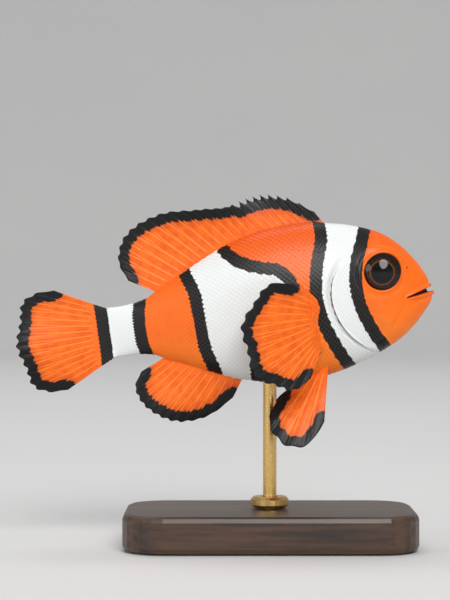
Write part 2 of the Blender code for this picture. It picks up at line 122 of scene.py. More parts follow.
CAUDAL_LOBES = (0.022, 3.0, -0.5 * math.pi)
CAUDAL_WAVE = (0.0015, 1.25, 0.5)
PECTORAL_RAYS = 15
PECTORAL_ROOT = ((0.326, -0.012), (0.346, -0.100))
PECTORAL_OUT = math.radians(30)
PECTORAL_TILT = math.radians(8)
PECTORAL_SPREAD = (36, -58)
PECTORAL_LENGTH = (
    (0, 0.05, 0.13, 0.27, 0.50, 0.75, 0.90, 1.0),
    (0.140, 0.188, 0.230, 0.266, 0.286, 0.250, 0.198, 0.138),
)
PECTORAL_LOBES = (0.03, 3.5, 0.2)
PECTORAL_CUP = -0.0022
PELVIC_RAYS = 6
PELVIC_ROOT = ((0.345, 0.0031), (0.392, 0.0017))
PELVIC_SPLAY = math.radians(20)
PELVIC_SPREAD = (-76, -22)
PELVIC_LENGTH = (
    (0, 0.1, 0.25, 0.45, 0.65, 0.85, 1.0),
    (0.165, 0.224, 0.260, 0.258, 0.230, 0.178, 0.116),
)
PELVIC_CUP = 0.0012
SPINE_NOTCH, RAY_NOTCH = 0.16, 0.03
ROOT_DEPTH = 0.0016  # how far a fin's root reaches under the skin, in metres

# ---- curves and the body's shape


def curve(x, keys, values):
    """A smooth curve through (keys, values), read at x."""
    keys, values = np.asarray(keys, float), np.asarray(values, float)
    slopes = np.gradient(values, keys)
    x = np.clip(np.asarray(x, float), keys[0], keys[-1])
    i = np.clip(np.searchsorted(keys, x) - 1, 0, len(keys) - 2)
    step = keys[i + 1] - keys[i]
    s = (x - keys[i]) / step
    start = (1 + 2 * s) * (1 - s) ** 2 * values[i] + s * (1 - s) ** 2 * step * slopes[i]
    end = s * s * (3 - 2 * s) * values[i + 1] + s * s * (s - 1) * step * slopes[i + 1]
    return start + end


def ramp(x, low, high):
    """0 below low, 1 above high, and smooth between; low may be the larger."""
    s = np.clip((x - low) / (high - low), 0, 1)
    return s * s * (3 - 2 * s)


def hump(x, width):
    """A bell of height 1 at x = 0."""
    return np.exp(-((x / width) ** 2))


def snout(t):
    return np.sqrt(np.clip(1 - (1 - np.clip(t / SNOUT_ROUNDING, 0, 1)) ** 2, 0, 1))


def top(t):
    return curve(t, BODY.t, BODY.top) * snout(t)


def bottom(t):
    return curve(t, BODY.t, BODY.bottom) * snout(t)


def half_height(t, side):
    """How far the body reaches over its axis where side is above 0, and under it elsewhere."""
    return np.where(side > 0, top(t), bottom(t))


def half_width(t):
    return curve(t, BODY.t, BODY.half) * snout(t)


def at(t, y, h):
    """Points at stations t and heights h, y metres to the left."""
    return np.stack(np.broadcast_arrays(-LENGTH * t, y, LENGTH * h), -1)


def body_point(t, angle):
    """Points of the body's plain surface, in metres; angle 0 is its left side, a quarter turn its back."""
    t, angle = np.broadcast_arrays(t, angle)
    cos, sin = np.cos(angle), np.sin(angle)
    pinch = np.where(sin > 0, BACK_PINCH, 1.0)
    y = np.copysign(np.abs(cos) ** pinch, cos) * half_width(t) * LENGTH
    drop = np.maximum(-sin, 0) * bottom(t)
    jut = JAW_JUT * (1 - np.exp(-drop / JAW_JUT_RISE)) * np.exp(-t / JAW_JUT_REACH)
    return at(t - jut, y, sin * half_height(t, sin))


def unit(vectors):
    return vectors / np.maximum(np.linalg.norm(vectors, axis=-1, keepdims=True), 1e-12)


def body_normal(t, angle):
    """Outward unit vectors of the body's plain surface."""
    dt, da = 0.0004, 0.002
    along = body_point(t + dt, angle) - body_point(np.maximum(t - dt, 1e-5), angle)
    around = body_point(t, angle + da) - body_point(t, angle - da)
    return unit(np.cross(along, around))


def skin_y(t, h):
    """Half the body's width at station t and height h, in metres."""
    pinch = BACK_PINCH if h > 0 else 1.0
    return half_width(t) * LENGTH * (1 - min(abs(h) / half_height(t, h), 1.0) ** 2) ** (pinch / 2)


def belly_h(t, y):
    """The height h of the belly's skin at station t and y metres to the side."""
    return -bottom(t) * math.sqrt(1 - (y / (half_width(t) * LENGTH)) ** 2)


def middle(node):
    low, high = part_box(node)
    return (low + high) / 2


# ---- the fish's place


def place_fish():
    """The matrix from the fish's frame to the row's: the two eyes are the landmark that fixes it."""
    turn = Matrix.Rotation(-PITCH, 4, "Y")
    eyes = (middle("eye_left") + middle("eye_right")) / 2
    return Matrix.Translation(eyes - turn @ Vector(at(EYE_T, 0.0, EYE_H))) @ turn


FISH = place_fish()
EYE_CENTRES = {side: np.array(FISH.inverted() @ middle("eye_" + side)) for side, _ in SIDES}
EYE_AXES = {side: np.array((0.0, sign, 0.0)) for side, sign in SIDES}


def to_row(points):
    """Points of the fish's frame, in the row's frame, as one list."""
    turn = np.array(FISH)
    return points.reshape(-1, 3) @ turn[:3, :3].T + turn[:3, 3]


def on_side(points, sign):
    """Points of the fish's left side, or their mirror images where sign is -1, in the row's frame."""
    return to_row(points * (1, sign, 1))


# ---- meshes


def grid(rows, columns, wrap=False):
    """Quads of a grid whose points are numbered row by row, and each corner's row and column.

    With wrap, the last column is joined to the first, and its far corners count one column on.
    """
    i, j = np.meshgrid(np.arange(rows - 1), np.arange(columns if wrap else columns - 1), indexing="ij")
    row = np.stack([i, i + 1, i + 1, i], -1).reshape(-1, 4)
    column = np.stack([j, j, j + 1, j + 1], -1).reshape(-1, 4)
    return row * columns + column % columns, row, column


def tube(rows, columns):
    """Faces of a wrapped grid with a fan to a point at each end, and each corner's row and column.

    The two end points are numbered last, and lie a row before the first and a row after the last.
    """
    faces, row, column = ([part] for part in grid(rows, columns, wrap=True))
    j = np.arange(columns)
    ends = ((0, -1, 0, j, j + 1), (1, rows, rows - 1, j + 1, j))
    for end, end_row, ring, near, far in ends:
        point = np.full(columns, rows * columns + end)
        faces.append(np.stack([point, ring * columns + near % columns, ring * columns + far % columns], -1))
        row.append(np.broadcast_to([end_row, ring, ring], (columns, 3)))
        column.append(np.stack([j + 0.5, near, far], -1))
    return faces, row, column


def slab(rows, columns, wrap=False):
    """Faces and map of a closed plate: one grid of points, then as many again for its other face."""
    quads, row, column = grid(rows, columns, wrap)
    under = rows * columns
    spots = np.stack([0.01 + 0.47 * row / (rows - 1), 0.01 + 0.96 * column / (columns - 1 + wrap)], -1)
    index = np.arange(under).reshape(rows, columns)
    if wrap:
        loops = [index[0][::-1], index[-1]]
    else:
        loops = [np.concatenate([index[:, 0], index[-1, 1:], index[-2::-1, -1], index[0, -2:0:-1]])]
    near, far = np.concatenate(loops), np.concatenate([np.roll(loop, -1) for loop in loops])
    along = 0.01 + 0.97 * np.arange(len(near) + 1) / len(near)
    across = np.broadcast_to([0.980, 0.980, 0.995, 0.995], (len(near), 4))
    rim = np.stack([near, far, under + far, under + near], -1)
    rim_map = np.stack([np.stack([along[:-1], along[1:], along[1:], along[:-1]], -1), across], -1)
    return [quads[:, ::-1], under + quads, rim], [spots[:, ::-1], spots + np.array([0.5, 0.0]), rim_map]


def both_faces(marks):
    return {key: np.stack([value, value]) for key, value in marks.items()}


def copies(faces, number, points_each):
    """The faces of one small shape, repeated for as many as there are."""
    first = (np.arange(number) * points_each)[:, None, None]
    return [(first + part[None]).reshape(-1, part.shape[1]) for part in faces]


def volume_of(points, faces):
    """The signed volume inside the faces, above 0 where they face outwards."""
    total = 0.0
    for part in faces:
        for i in range(1, part.shape[1] - 1):
            a, b, c = points[part[:, 0]], points[part[:, i]], points[part[:, i + 1]]
            total += np.einsum("ij,ij->", a, np.cross(b, c))
    return total


def add_object(name, data):
    made = bpy.data.objects.new(name, data)
    bpy.context.scene.collection.objects.link(made)
    return made


def add_mesh(name, points, faces, attributes=None, uv=None, sharp=None):
    """An object from arrays: faces are arrays of corners, attributes are per point, uv is per corner."""
    if volume_of(points - points.mean(0), faces) < 0:
        faces = [part[:, ::-1] for part in faces]
        uv = uv and [part[:, ::-1] for part in uv]
    mesh = bpy.data.meshes.new(name)
    sizes = np.concatenate([np.full(len(part), part.shape[1]) for part in faces])
    corners = np.concatenate([part.ravel() for part in faces])
    mesh.vertices.add(len(points))
    mesh.vertices.foreach_set("co", np.asarray(points, np.float32).ravel())
    mesh.loops.add(len(corners))
    mesh.loops.foreach_set("vertex_index", corners.astype(np.int32))
    mesh.polygons.add(len(sizes))
    mesh.polygons.foreach_set("loop_start", (np.cumsum(sizes) - sizes).astype(np.int32))
    mesh.update(calc_edges=True)
    for key, values in (attributes or {}).items():
        layer = mesh.attributes.new(key, "FLOAT", "POINT")
        layer.data.foreach_set("value", np.asarray(values, np.float32).ravel())
    if uv:
        spots = np.concatenate([part.reshape(-1, 2) for part in uv])
        mesh.uv_layers.new(name="OFBake").data.foreach_set("uv", spots.astype(np.float32).ravel())
    mesh.shade_smooth()
    if sharp:
        mesh.set_sharp_from_angle(angle=math.radians(sharp))
    return add_object(name, mesh)


def add_piece(name, points, faces, marks, uv, material, slot, *nodes, sharp=None):
    """A piece of the fish's looks, in place of these nodes."""
    piece = add_mesh(name, points, faces, marks, uv, sharp)
    piece.data.materials.append(material)
    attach(piece, "root")
    if nodes:
        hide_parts(*nodes)


# ---- the skin's relief


def mouth_distance(t, h):
    """Millimetres from the gape's edge, and from its middle line upwards."""
    back = np.clip(t / MOUTH_CORNER_T, 0, 1)
    line = MOUTH_H[0] + (MOUTH_H[1] - MOUTH_H[0]) * back
    above = (h - line) * LENGTH_MM
    past = np.maximum(t - MOUTH_CORNER_T, 0) * LENGTH_MM
    gape = GAPE / 2 * LENGTH_MM * (1 - back)
    return np.hypot(past, np.maximum(np.abs(above) - gape, 0)), above


def mouth_relief(t, h):
    """Lips round a dark slit, with a fold above and below them."""
    edge, above = mouth_distance(t, h)
    near_corner = ramp(t, MOUTH_CORNER_T * 0.62, MOUTH_CORNER_T)
    width = 0.50 - 0.22 * near_corner
    lips = 0.34 * (1 - 0.75 * near_corner) * hump(edge - width, width * 0.9)
    fold = -0.16 * hump(edge - 2.5 * width, 0.34) * (1 - 0.5 * near_corner)
    slit = -(1.0 - 0.5 * near_corner) * ramp(edge, 0.16, 0.0)
    chin = 0.10 * hump(above + 2.6, 1.2) * ramp(t, 0.10, 0.02)
    return lips * (edge > 0) + fold + slit + chin


def eye_distance(points):
    """Millimetres from the nearer eye's axis, and outwards along it from the eye's centre."""
    off, out = np.full(points.shape[:-1], 1e3), np.zeros(points.shape[:-1])
    for side, centre in EYE_CENTRES.items():
        away = (points - centre) * 1000
        along = away @ EYE_AXES[side]
        across = np.linalg.norm(away - along[..., None] * EYE_AXES[side], axis=-1)
        nearer = (along > -3) & (across < off)
        off, out = np.where(nearer, across, off), np.where(nearer, along, out)
    return off, out


EYE_RADIUS_MM, EYE_DEPTH_MM = EYE_RADIUS * LENGTH_MM, EYE_DEPTH_RADIUS * LENGTH_MM
EYE_SEEN_MM = EYE_RADIUS_MM * math.sqrt(1 - (1 - EYE_BULGE / EYE_DEPTH_RADIUS) ** 2)


def softened(x, width):
    """0 well below x = 0 and x well above it, with a round bend of this width between."""
    return width * np.log1p(np.exp(np.clip(x / width, -30, 30)))


def eye_relief(off, out):
    """The orbit: a soft rim that hugs the eyeball, a shallow moat round it, the socket inside."""
    eyeball = EYE_DEPTH_MM * np.sqrt(np.clip(1 - (off / EYE_RADIUS_MM) ** 2, 0, 1))
    lid = softened(eyeball + 0.05 - out, 0.10) * ramp(off, EYE_SEEN_MM - 0.25, EYE_SEEN_MM + 0.1)
    lid = lid * ramp(off, EYE_RADIUS_MM + 1.9, EYE_RADIUS_MM - 0.2)
    socket = -1.9 * ramp(off, EYE_SEEN_MM + 0.02, EYE_SEEN_MM - 0.55)
    rim = 0.22 * hump(off - EYE_SEEN_MM - 0.26, 0.30)
    moat = -0.09 * hump(off - EYE_SEEN_MM - 1.2, 0.45)
    return lid + socket + rim + moat


def gill_distance(t, h):
    """Millimetres behind the free edge of the gill cover."""
    return (t - curve(h, *GILL_OPENING)) * LENGTH_MM


def gill_relief(h, behind, eye_off, behind_cheek):
    """The free edge of the gill cover with the slot behind it, and the cheek's ridge."""
    reach = ramp(h, 0.146, 0.075) * ramp(h, -0.172, -0.148)
    flap = 0.30 * np.exp(np.minimum(behind, 0) / 1.6) * ramp(behind, 0.12, 0.0)
    slot = -0.50 * ramp(behind, 0.0, 0.14) * ramp(behind, 1.4, 0.25)
    cheek_reach = ramp(h, -0.175, -0.145) * ramp(h, 0.125, 0.085)
    cheek_reach = cheek_reach * ramp(eye_off, EYE_SEEN_MM + 0.4, EYE_SEEN_MM + 1.6)
    ridge = 0.12 * np.exp(np.minimum(behind_cheek, 0) / 0.9) * ramp(behind_cheek, 0.5, 0.0)
    step = -0.12 * ramp(behind_cheek, 0.0, 0.5) * np.exp(-np.maximum(behind_cheek, 0) / 1.3)
    return (flap + slot) * reach + (ridge + step) * cheek_reach


FAR_MM = 9.0  # stands for out of reach


def gill_shade(t, h):
    """Millimetres behind the gill cover's edge, stretched where the slot runs out at its ends; the skin's
    painted shade in the slot follows it.
    """
    stretch = 1 + 8 * np.maximum(ramp(h, 0.060, 0.114), ramp(h, -0.125, -0.158))
    return np.where((h < 0.116) & (h > -0.160), gill_distance(t, h) * stretch, FAR_MM)


def pectoral_rise(t, h):
    """How far a pectoral fin's outer face stands out of the plain surface, in millimetres.

    Also how far each place is past the upper or the lower edge of the fan.
    """
    (t0, h0), (t1, h1) = PECTORAL_ROOT
    share = np.clip((h - h0) / (h1 - h0), 0, 1)
    behind = (t - t0 - (t1 - t0) * share) * LENGTH_MM
    root_y = [1000 * skin_y(*place) for place in PECTORAL_ROOT]
    narrowing = np.sqrt(np.clip(1 - (h / np.maximum(half_height(t, h), 0.01)) ** 2, 0, 1))
    flank = half_width(t) * LENGTH_MM * narrowing
    beyond = (h - h0 - (h1 - h0) * share) * LENGTH_MM
    fin_y = root_y[0] + (root_y[1] - root_y[0]) * share - beyond * math.tan(PECTORAL_TILT)
    fin_y = fin_y + behind * math.tan(PECTORAL_OUT) - 1000 * ROOT_DEPTH * (1 - behind / PAD_REACH) + 0.45
    fanned = np.maximum(behind, 0) / math.cos(PECTORAL_OUT)
    edges = [math.tan(math.radians(abs(spread))) for spread in PECTORAL_SPREAD]
    past = np.maximum((h - h0) * LENGTH_MM - edges[0] * fanned, (h1 - h) * LENGTH_MM - edges[1] * fanned)
    return fin_y - flank, past


def pectoral_pad(t, h):
    """The fleshy lobe that a pectoral fin grows out of, in millimetres over the plain surface."""
    rise, past = pectoral_rise(t, h)
    return softened(rise + 0.16, PAD_SOFT) * ramp(rise, 1.7, 0.9) * ramp(past, 1.3, -0.2) * (t < 0.5)


def segment_distance(t, h, a, b):
    """Millimetres from the straight line between two (t, h) points."""
    t, h, way = t - a[0], h - a[1], np.subtract(b, a)
    along = np.clip((t * way[0] + h * way[1]) / (way @ way), 0, 1)
    return LENGTH_MM * np.hypot(t - along * way[0], h - along * way[1])


def fin_sheath(t, points):
    """The low ridges that the dorsal and anal fins grow out of."""
    over, under = (
        ramp(t, first - 0.02, first + lead) * ramp(t, last + 0.03, last - 0.01)
        for (first, last), lead in ((DORSAL_BASE, 0.03), (ANAL_BASE, 0.02))
    )
    return 0.32 * hump(points[..., 1] * 1000, 1.0) * np.where(points[..., 2] > 0, over, under)


def nostril_distance(t, h):
    return LENGTH_MM * np.hypot(t - NOSTRIL[0], h - NOSTRIL[1])


def skin_relief(t, h, points, gill_side=None):
    """How far the skin stands out of the plain surface, in millimetres.

    With gill_side, the relief runs on past the gill cover's edge as it is on that side of it:
    above 0 as it is in the slot, and below 0 as it is on the cover.
    """
    eye_off, eye_out = eye_distance(points)
    behind = gill_distance(t, h)
    if gill_side is not None:
        behind = np.where(gill_side > 0, np.maximum(behind, 0.25), np.minimum(behind, -0.02))
    behind_cheek = (t - curve(h, *CHEEK_EDGE)) * LENGTH_MM
    relief = mouth_relief(t, h) + eye_relief(eye_off, eye_out) + fin_sheath(t, points)
    relief += gill_relief(h, behind, eye_off, behind_cheek) + pectoral_pad(t, h)
    off = nostril_distance(t, h)
    relief += 0.13 * hump(off - 0.42, 0.15) - 0.6 * ramp(off, 0.32, 0.12)
    for depth, start, end, width in FACE_CREASES:
        relief -= depth * hump(segment_distance(t, h, start, end), width)
    return relief


def skin_surface(t, angle, lift_mm=0.0, gill_side=None):
    """Points of the finished skin, or lift_mm above it."""
    plain = body_point(t, angle)
    out = body_normal(t, angle)
    rise = skin_relief(t, plain[..., 2] / LENGTH, plain, gill_side) - COAT_MM + lift_mm
    return plain + out * rise[..., None] / 1000


def nostril_cover(t, h):
    """1 where the nostril's own patch lies over the rest, and 0 elsewhere."""
    return ramp(nostril_distance(t, h), 0.72, 0.58)


def patch_cover(t, angle):
    """1 where a finer patch lies over the skin, which keeps below it there, and 0 elsewhere."""
    plain = body_point(t, angle)
    h = plain[..., 2] / LENGTH
    gill = ramp(np.abs(gill_distance(t, h) - GILL_PATCH_MIDDLE), 0.90, 0.60)
    gill = gill * ramp(h, -0.152, -0.142) * ramp(h, 0.130, 0.120)
    orbit = ramp(eye_distance(plain)[0], EYE_SEEN_MM + 2.15, EYE_SEEN_MM + 1.80)
    return np.maximum.reduce([gill, orbit, nostril_cover(t, h)])


# ---- markings

# White bars as closed outlines in (t, h), each with black borders.
HEAD_BAR = (
    (0.182, 0.270), (0.206, 0.190), (0.236, 0.120), (0.250, 0.055), (0.246, -0.020), (0.220, -0.100),
    (0.180, -0.175), (0.146, -0.240), (0.200, -0.270), (0.248, -0.215), (0.292, -0.140),
    (0.326, -0.050), (0.335, 0.030), (0.322, 0.110), (0.296, 0.190), (0.282, 0.280),
)
BODY_BAR = (
    (0.640, 0.260), (0.632, 0.205), (0.588, 0.150), (0.520, 0.118), (0.462, 0.100), (0.440, 0.062),
    (0.446, 0.010), (0.490, -0.050), (0.545, -0.105), (0.580, -0.170), (0.588, -0.260),
    (0.650, -0.260), (0.668, -0.160), (0.690, -0.080), (0.694, 0.010), (0.700, 0.090),
    (0.722, 0.160), (0.728, 0.230), (0.700, 0.290),
)
TAIL_BAR = (
    (0.905, 0.130), (0.915, 0.040), (0.915, -0.040), (0.903, -0.130),
    (0.985, -0.130), (0.990, -0.040), (0.990, 0.040), (0.985, 0.130),
)
BORDER_MM = 2.7


def closed_curve(points, steps=6):
    """A smooth closed line through the points."""
    p1 = np.array(points)[:, None]
    p0, p2, p3 = (np.roll(p1, shift, 0) for shift in (1, -1, -2))
    s = np.linspace(0, 1, steps, endpoint=False)[:, None]
    line = p1 + 0.5 * s * (p2 - p0 + s * (2 * p0 - 5 * p1 + 4 * p2 - p3 + s * (3 * (p1 - p2) + p3 - p0)))
    return line.reshape(-1, 2)


def inside_by(t, h, outline):
    """How far inside a closed outline each place is, in millimetres, negative outside it."""
    line = closed_curve(outline)
    nearest = np.full(np.shape(t), 1e3)
    crossings = np.zeros(np.shape(t), int)
    for (t0, h0), (t1, h1) in zip(line, np.roll(line, -1, 0)):
        nearest = np.minimum(nearest, segment_distance(t, h, (t0, h0), (t1, h1)))
        spans = (h0 > h) != (h1 > h)
        if h1 != h0:
            crossings += spans & (t < t0 + (h - h0) * (t1 - t0) / (h1 - h0))
    return np.where(crossings % 2, nearest, -nearest)


CHART_STEP = 0.0025
CHART_T = np.arange(-0.05, 1.45, CHART_STEP)
CHART_H = np.arange(-0.60, 0.60, CHART_STEP)


def bar_chart():
    """inside_by of the nearest bar, worked out once over all (t, h)."""
    t, h = np.meshgrid(CHART_T, CHART_H, indexing="ij")
    return np.maximum.reduce([inside_by(t, h, bar) for bar in (HEAD_BAR, BODY_BAR, TAIL_BAR)])


def read_table(table, first_axis, second_axis, a, b):
    """A table's values between its places, where both axes are evenly spaced."""
    x = np.clip((a - first_axis[0]) / (first_axis[1] - first_axis[0]), 0, len(first_axis) - 1.001)
    y = np.clip((b - second_axis[0]) / (second_axis[1] - second_axis[0]), 0, len(second_axis) - 1.001)
    i, j = x.astype(int), y.astype(int)
    x, y = x - i, y - j
    near = table[i, j] * (1 - y) + table[i, j + 1] * y
    far = table[i + 1, j] * (1 - y) + table[i + 1, j + 1] * y
    return near * (1 - x) + far * x


BAR_CHART = bar_chart()


def bar_depth(t, h):
    return read_table(BAR_CHART, CHART_T, CHART_H, t, h)


# ---- material helpers


class Nodes:
    """A material's node tree, written down as short calls."""

    def __init__(self, name):
        self.material = bpy.data.materials.new(name)
        self.material.use_nodes = True
        self.tree = self.material.node_tree
        self.shader = self.tree.nodes["Principled BSDF"]

    def put(self, socket, value):
        if isinstance(value, bpy.types.NodeSocket):
            self.tree.links.new(value, socket)
        else:
            socket.default_value = (*value, 1.0) if socket.type == "RGBA" else value

    def add(self, kind, inputs=(), **settings):
        node = self.tree.nodes.new(kind)
        for key, value in settings.items():
            setattr(node, key, value)
        for key, value in dict(inputs).items():
            self.put(node.inputs[key], value)
        return node

    def math(self, operation, a, b=0.0):
        return self.add("ShaderNodeMath", {0: a, 1: b}, operation=operation).outputs[0]

    def times(self, a, b):
        return self.math("MULTIPLY", a, b)

    def attribute(self, name):
        return self.add("ShaderNodeAttribute", attribute_name=name).outputs["Fac"]

    def place(self):
        return self.add("ShaderNodeTexCoord").outputs["Object"]

    def stretched(self, *scale):
        return self.add("ShaderNodeMapping", {"Vector": self.place(), "Scale": scale}).outputs[0]

    def noise(self, scale, detail=3.0, roughness=0.5, vector=None):
        inputs = {"Scale": scale, "Detail": detail, "Roughness": roughness, "Vector": vector or self.place()}
        return self.add("ShaderNodeTexNoise", inputs).outputs["Fac"]

    def uneven(self, scale, detail, reach):
        """Noise about 0, for ragged edges."""
        return self.times(self.math("SUBTRACT", self.noise(scale, detail), 0.5), reach)

    def step(self, value, low, high, to_low=0.0, to_high=1.0):
        """value from low to high becomes to_low to to_high, smoothly."""
        inputs = {"Value": value, "From Min": low, "From Max": high, "To Min": to_low, "To Max": to_high}
        return self.add("ShaderNodeMapRange", inputs, interpolation_type="SMOOTHSTEP").outputs[0]

    def mix(self, share, a, b):
        """Colour a, with this share of colour b. A Mix node's colours are its inputs 6 and 7."""
        return self.add("ShaderNodeMix", {0: share, 6: a, 7: b}, data_type="RGBA").outputs[2]

    def bump(self, height, distance, strength=1.0, normal=None):
        inputs = {"Height": height, "Distance": distance, "Strength": strength}
        if normal is not None:
            inputs["Normal"] = normal
        return self.add("ShaderNodeBump", inputs).outputs["Normal"]

    def set(self, **values):
        for key, value in values.items():
            self.put(self.shader.inputs[key.replace("_", " ")], value)
        return self.material


ORANGE = (0.93, 0.150, 0.006)
ORANGE_BACK = (0.80, 0.098, 0.004)
ORANGE_BELLY = (0.98, 0.220, 0.014)
WHITE = (0.81, 0.81, 0.795)
BLACK = (0.004, 0.0035, 0.004)


def body_colour(n):
    """Orange, darker on the back, with white bars in black borders."""
    height = n.attribute("height")
    base = n.mix(n.step(height, -0.16, 0.0), ORANGE_BELLY, ORANGE)
    base = n.mix(n.step(height, 0.06, 0.26), base, ORANGE_BACK)
    base = n.mix(n.step(n.noise(420, 4, 0.6), 0.45, 0.75, 0.0, 0.22), base, ORANGE_BACK)
    ragged = n.uneven(1400, 2, 0.22)
    depth = n.math("ADD", n.attribute("bar"), ragged)
    black = n.step(depth, -BORDER_MM - 0.10, -BORDER_MM + 0.10)
    black = n.times(black, n.step(n.math("ADD", n.attribute("pad"), ragged), 0.42, 0.28))
    base = n.mix(black, base, BLACK)
    return n.mix(n.step(depth, -0.06, 0.08), base, WHITE)


SKIN_GLOSS = {"Roughness": 0.38, "Specular_IOR_Level": 0.22, "Coat_Weight": 0.07, "Coat_Roughness": 0.14}


def skin_material():
    n = Nodes("clownfish_skin")
    mouth, gill = n.attribute("mouth"), n.attribute("gill")
    # painted shade: the gape's slit is coloured near black, standing in for the shadow inside the mouth
    colour = n.mix(n.step(mouth, 0.35, 0.0), body_colour(n), (0.05, 0.012, 0.010))
    # painted shade: the gill slot is darkened in the colour, a dark line that stands in for the shadow in the
    # groove
    slot = n.times(n.step(gill, -0.02, 0.06), n.step(gill, 0.48, 0.22))
    colour = n.mix(slot, colour, n.mix(0.85, colour, (0.08, 0.03, 0.02)))
    pores = n.add("ShaderNodeTexVoronoi", {"Scale": 900.0, "Vector": n.place()}).outputs["Distance"]
    pores = n.times(n.step(pores, 0.20, 0.09), n.step(n.noise(260, 2), 0.42, 0.56))
    colour = n.mix(n.times(pores, 0.30), colour, n.mix(0.5, colour, (0.20, 0.02, 0.0)))
    normal = n.bump(pores, 0.00006, -0.6)
    normal = n.bump(n.noise(2600, 2, 0.5), 0.00003, 0.6, normal)
    n.set(Base_Color=colour, Normal=normal, Subsurface_Weight=0.10, Subsurface_Scale=0.001)
    n.set(**SKIN_GLOSS)
    gloss = n.step(n.noise(700, 3), 0.3, 0.7, 0.33, 0.43)
    return n.set(Roughness=n.math("MAXIMUM", gloss, n.step(mouth, 0.40, 0.10, 0.0, 0.9)))


def scale_material():
    n = Nodes("clownfish_scales")
    edge = n.attribute("edge")
    base = body_colour(n)
    colour = n.mix(n.step(edge, 0.55, 1.0, 0.0, 0.5), base, n.mix(0.45, base, (0.0, 0.0, 0.0)))
    # painted sheen: a faint pale wash over each scale away from its darker free edge
    colour = n.mix(n.step(edge, 0.6, 0.0, 0.0, 0.02), colour, (1.0, 0.9, 0.8))
    n.set(Base_Color=colour, Subsurface_Weight=0.08, Subsurface_Scale=0.0008)
    return n.set(**SKIN_GLOSS)


# ---- the skin

SKIN_STATIONS, SKIN_SIDES = 372, 256
STATION_CROWDING = 1.8  # how strongly the stations crowd towards the snout
PATCH_SUNK = 0.30  # mm that the skin keeps below a finer patch
PATCH_THICKNESS, PATCH_LIFT = 0.12, 0.012  # mm, the second how far a round patch lies over the skin
FLESH = ("head", "lower_jaw", "gill_cover_left", "gill_cover_right", "trunk", "tail_stalk")


def skin_angles(count):
    """Angles round the body from the keel, closer together on the sides than on the ridges."""
    turn = 2 * math.pi * np.arange(count) / count - math.pi / 2
    return turn - 0.2 * np.sin(2 * turn)


def skin_map(t, angle):
    """A place on the skin's own unwrap: along the fish, and round it from the keel."""
    t, angle = np.broadcast_arrays(t, angle)
    return np.stack([0.01 + 0.98 * t, (angle + math.pi / 2) / (2 * math.pi)], -1)


def skin_marks(t, h):
    """What the skin's material reads at each place."""
    return {
        "bar": bar_depth(t, h),
        "height": h,
        "pad": pectoral_pad(t, h),
        "mouth": mouth_distance(t, h)[0],
        "gill": gill_shade(t, h),
    }


def add_skin(material):
    """One closed surface from the snout tip to the tail fin's root."""
    stations = (np.arange(1, SKIN_STATIONS + 1) / SKIN_STATIONS) ** STATION_CROWDING
    angles = skin_angles(SKIN_SIDES)
    t, angle = np.meshgrid(stations, angles, indexing="ij")
    rings = skin_surface(t, angle, -PATCH_SUNK * patch_cover(t, angle))
    points = np.concatenate([rings.reshape(-1, 3), rings[[0, -1]].mean(1)])
    faces, row, column = tube(SKIN_STATIONS, SKIN_SIDES)
    stations = np.concatenate([[-0.008], stations, [1.008]])
    numbers, seam = np.arange(SKIN_SIDES + 1), np.append(angles, angles[0] + 2 * math.pi)
    uv = [skin_map(stations[i + 1], np.interp(j, numbers, seam)) for i, j in zip(row, column)]
    h = body_point(t, angle)[..., 2] / LENGTH
    marks = skin_marks(np.append(t, [0.0, 1.0]), np.append(h, [0.0, 0.0]))
    add_piece("skin", to_row(points), faces, marks, uv, material, "skin", *FLESH)


def side_angle(t, h):
    """The angle of the body's left side at height h."""
    return np.arcsin(np.clip(h / half_height(t, h), -1, 1))


def add_patch(name, t, h, lift, material, wrap=False):
    """Finer skin over a part that the body's own grid is too coarse for, on both sides of the fish."""
    angle = side_angle(t, h)
    layers = np.stack([skin_surface(t, angle, lift - depth) for depth in (0.0, PATCH_THICKNESS)])
    faces, uv = slab(*t.shape, wrap)
    marks = both_faces(skin_marks(t, h))
    for side, sign in SIDES:
        add_piece(f"{name}_{side}", on_side(layers, sign), faces, marks, uv, material, "skin")


ORBIT_RINGS_MM, ORBIT_SIDES = EYE_SEEN_MM + np.linspace(-0.55, 3.4, 48), 160
NOSTRIL_RINGS_MM, NOSTRIL_SIDES = np.linspace(0.04, 1.0, 24), 56


def add_round_patch(name, centre, distances, sides, material, under=None):
    """A round patch about a place (t, h), over these distances from it in millimetres.

    It lies just over the skin, and sinks as far below it where it ends. With under, it keeps
    below the patch that covers that share of each place.
    """
    turn = 2 * math.pi * np.arange(sides) / sides
    off, turn = np.meshgrid(distances, turn, indexing="ij")
    t, h = centre[0] - off * np.cos(turn) / LENGTH_MM, centre[1] + off * np.sin(turn) / LENGTH_MM
    lift = PATCH_LIFT * (1 - 2 * ramp(off, 0.6 * distances[-1] + 0.4 * distances[0], distances[-1]))
    if under:
        lift = lift - PATCH_SUNK * under(t, h)
    add_patch(name, t, h, lift, material, wrap=True)


def add_gill_edges(material):
    """The free edge of each gill cover, with the slot behind it."""
    runs = (np.linspace(-1.1, -0.2, 8), np.linspace(-0.12, 0.4, 22), np.linspace(0.5, 1.6, 9))
    behind, h = np.meshgrid(np.concatenate(runs), np.linspace(-0.170, 0.148, 170), indexing="ij")
    t = curve(h, *GILL_OPENING) + behind / LENGTH_MM
    sides = ramp(np.abs(behind - GILL_PATCH_MIDDLE), 0.95, 1.35)
    ends = np.maximum(ramp(h, -0.155, -0.170), ramp(h, 0.132, 0.148))
    add_patch("gill_edge", t, h, 0.03 - 0.09 * np.maximum(sides, ends), material)


# ---- scales

SCALE_PITCH = (1.15, 0.62)  # mm along a row, and from one row to the next
SCALE_SIZE = (1.70, 1.32)  # mm long and tall, so that each covers the fronts of those behind it
SCALE_SIDES = 12
SCALE_LIFT = (-0.10, 0.12)  # mm over the skin at the front edge and at the rear edge
SCALE_THICKNESS = 0.05
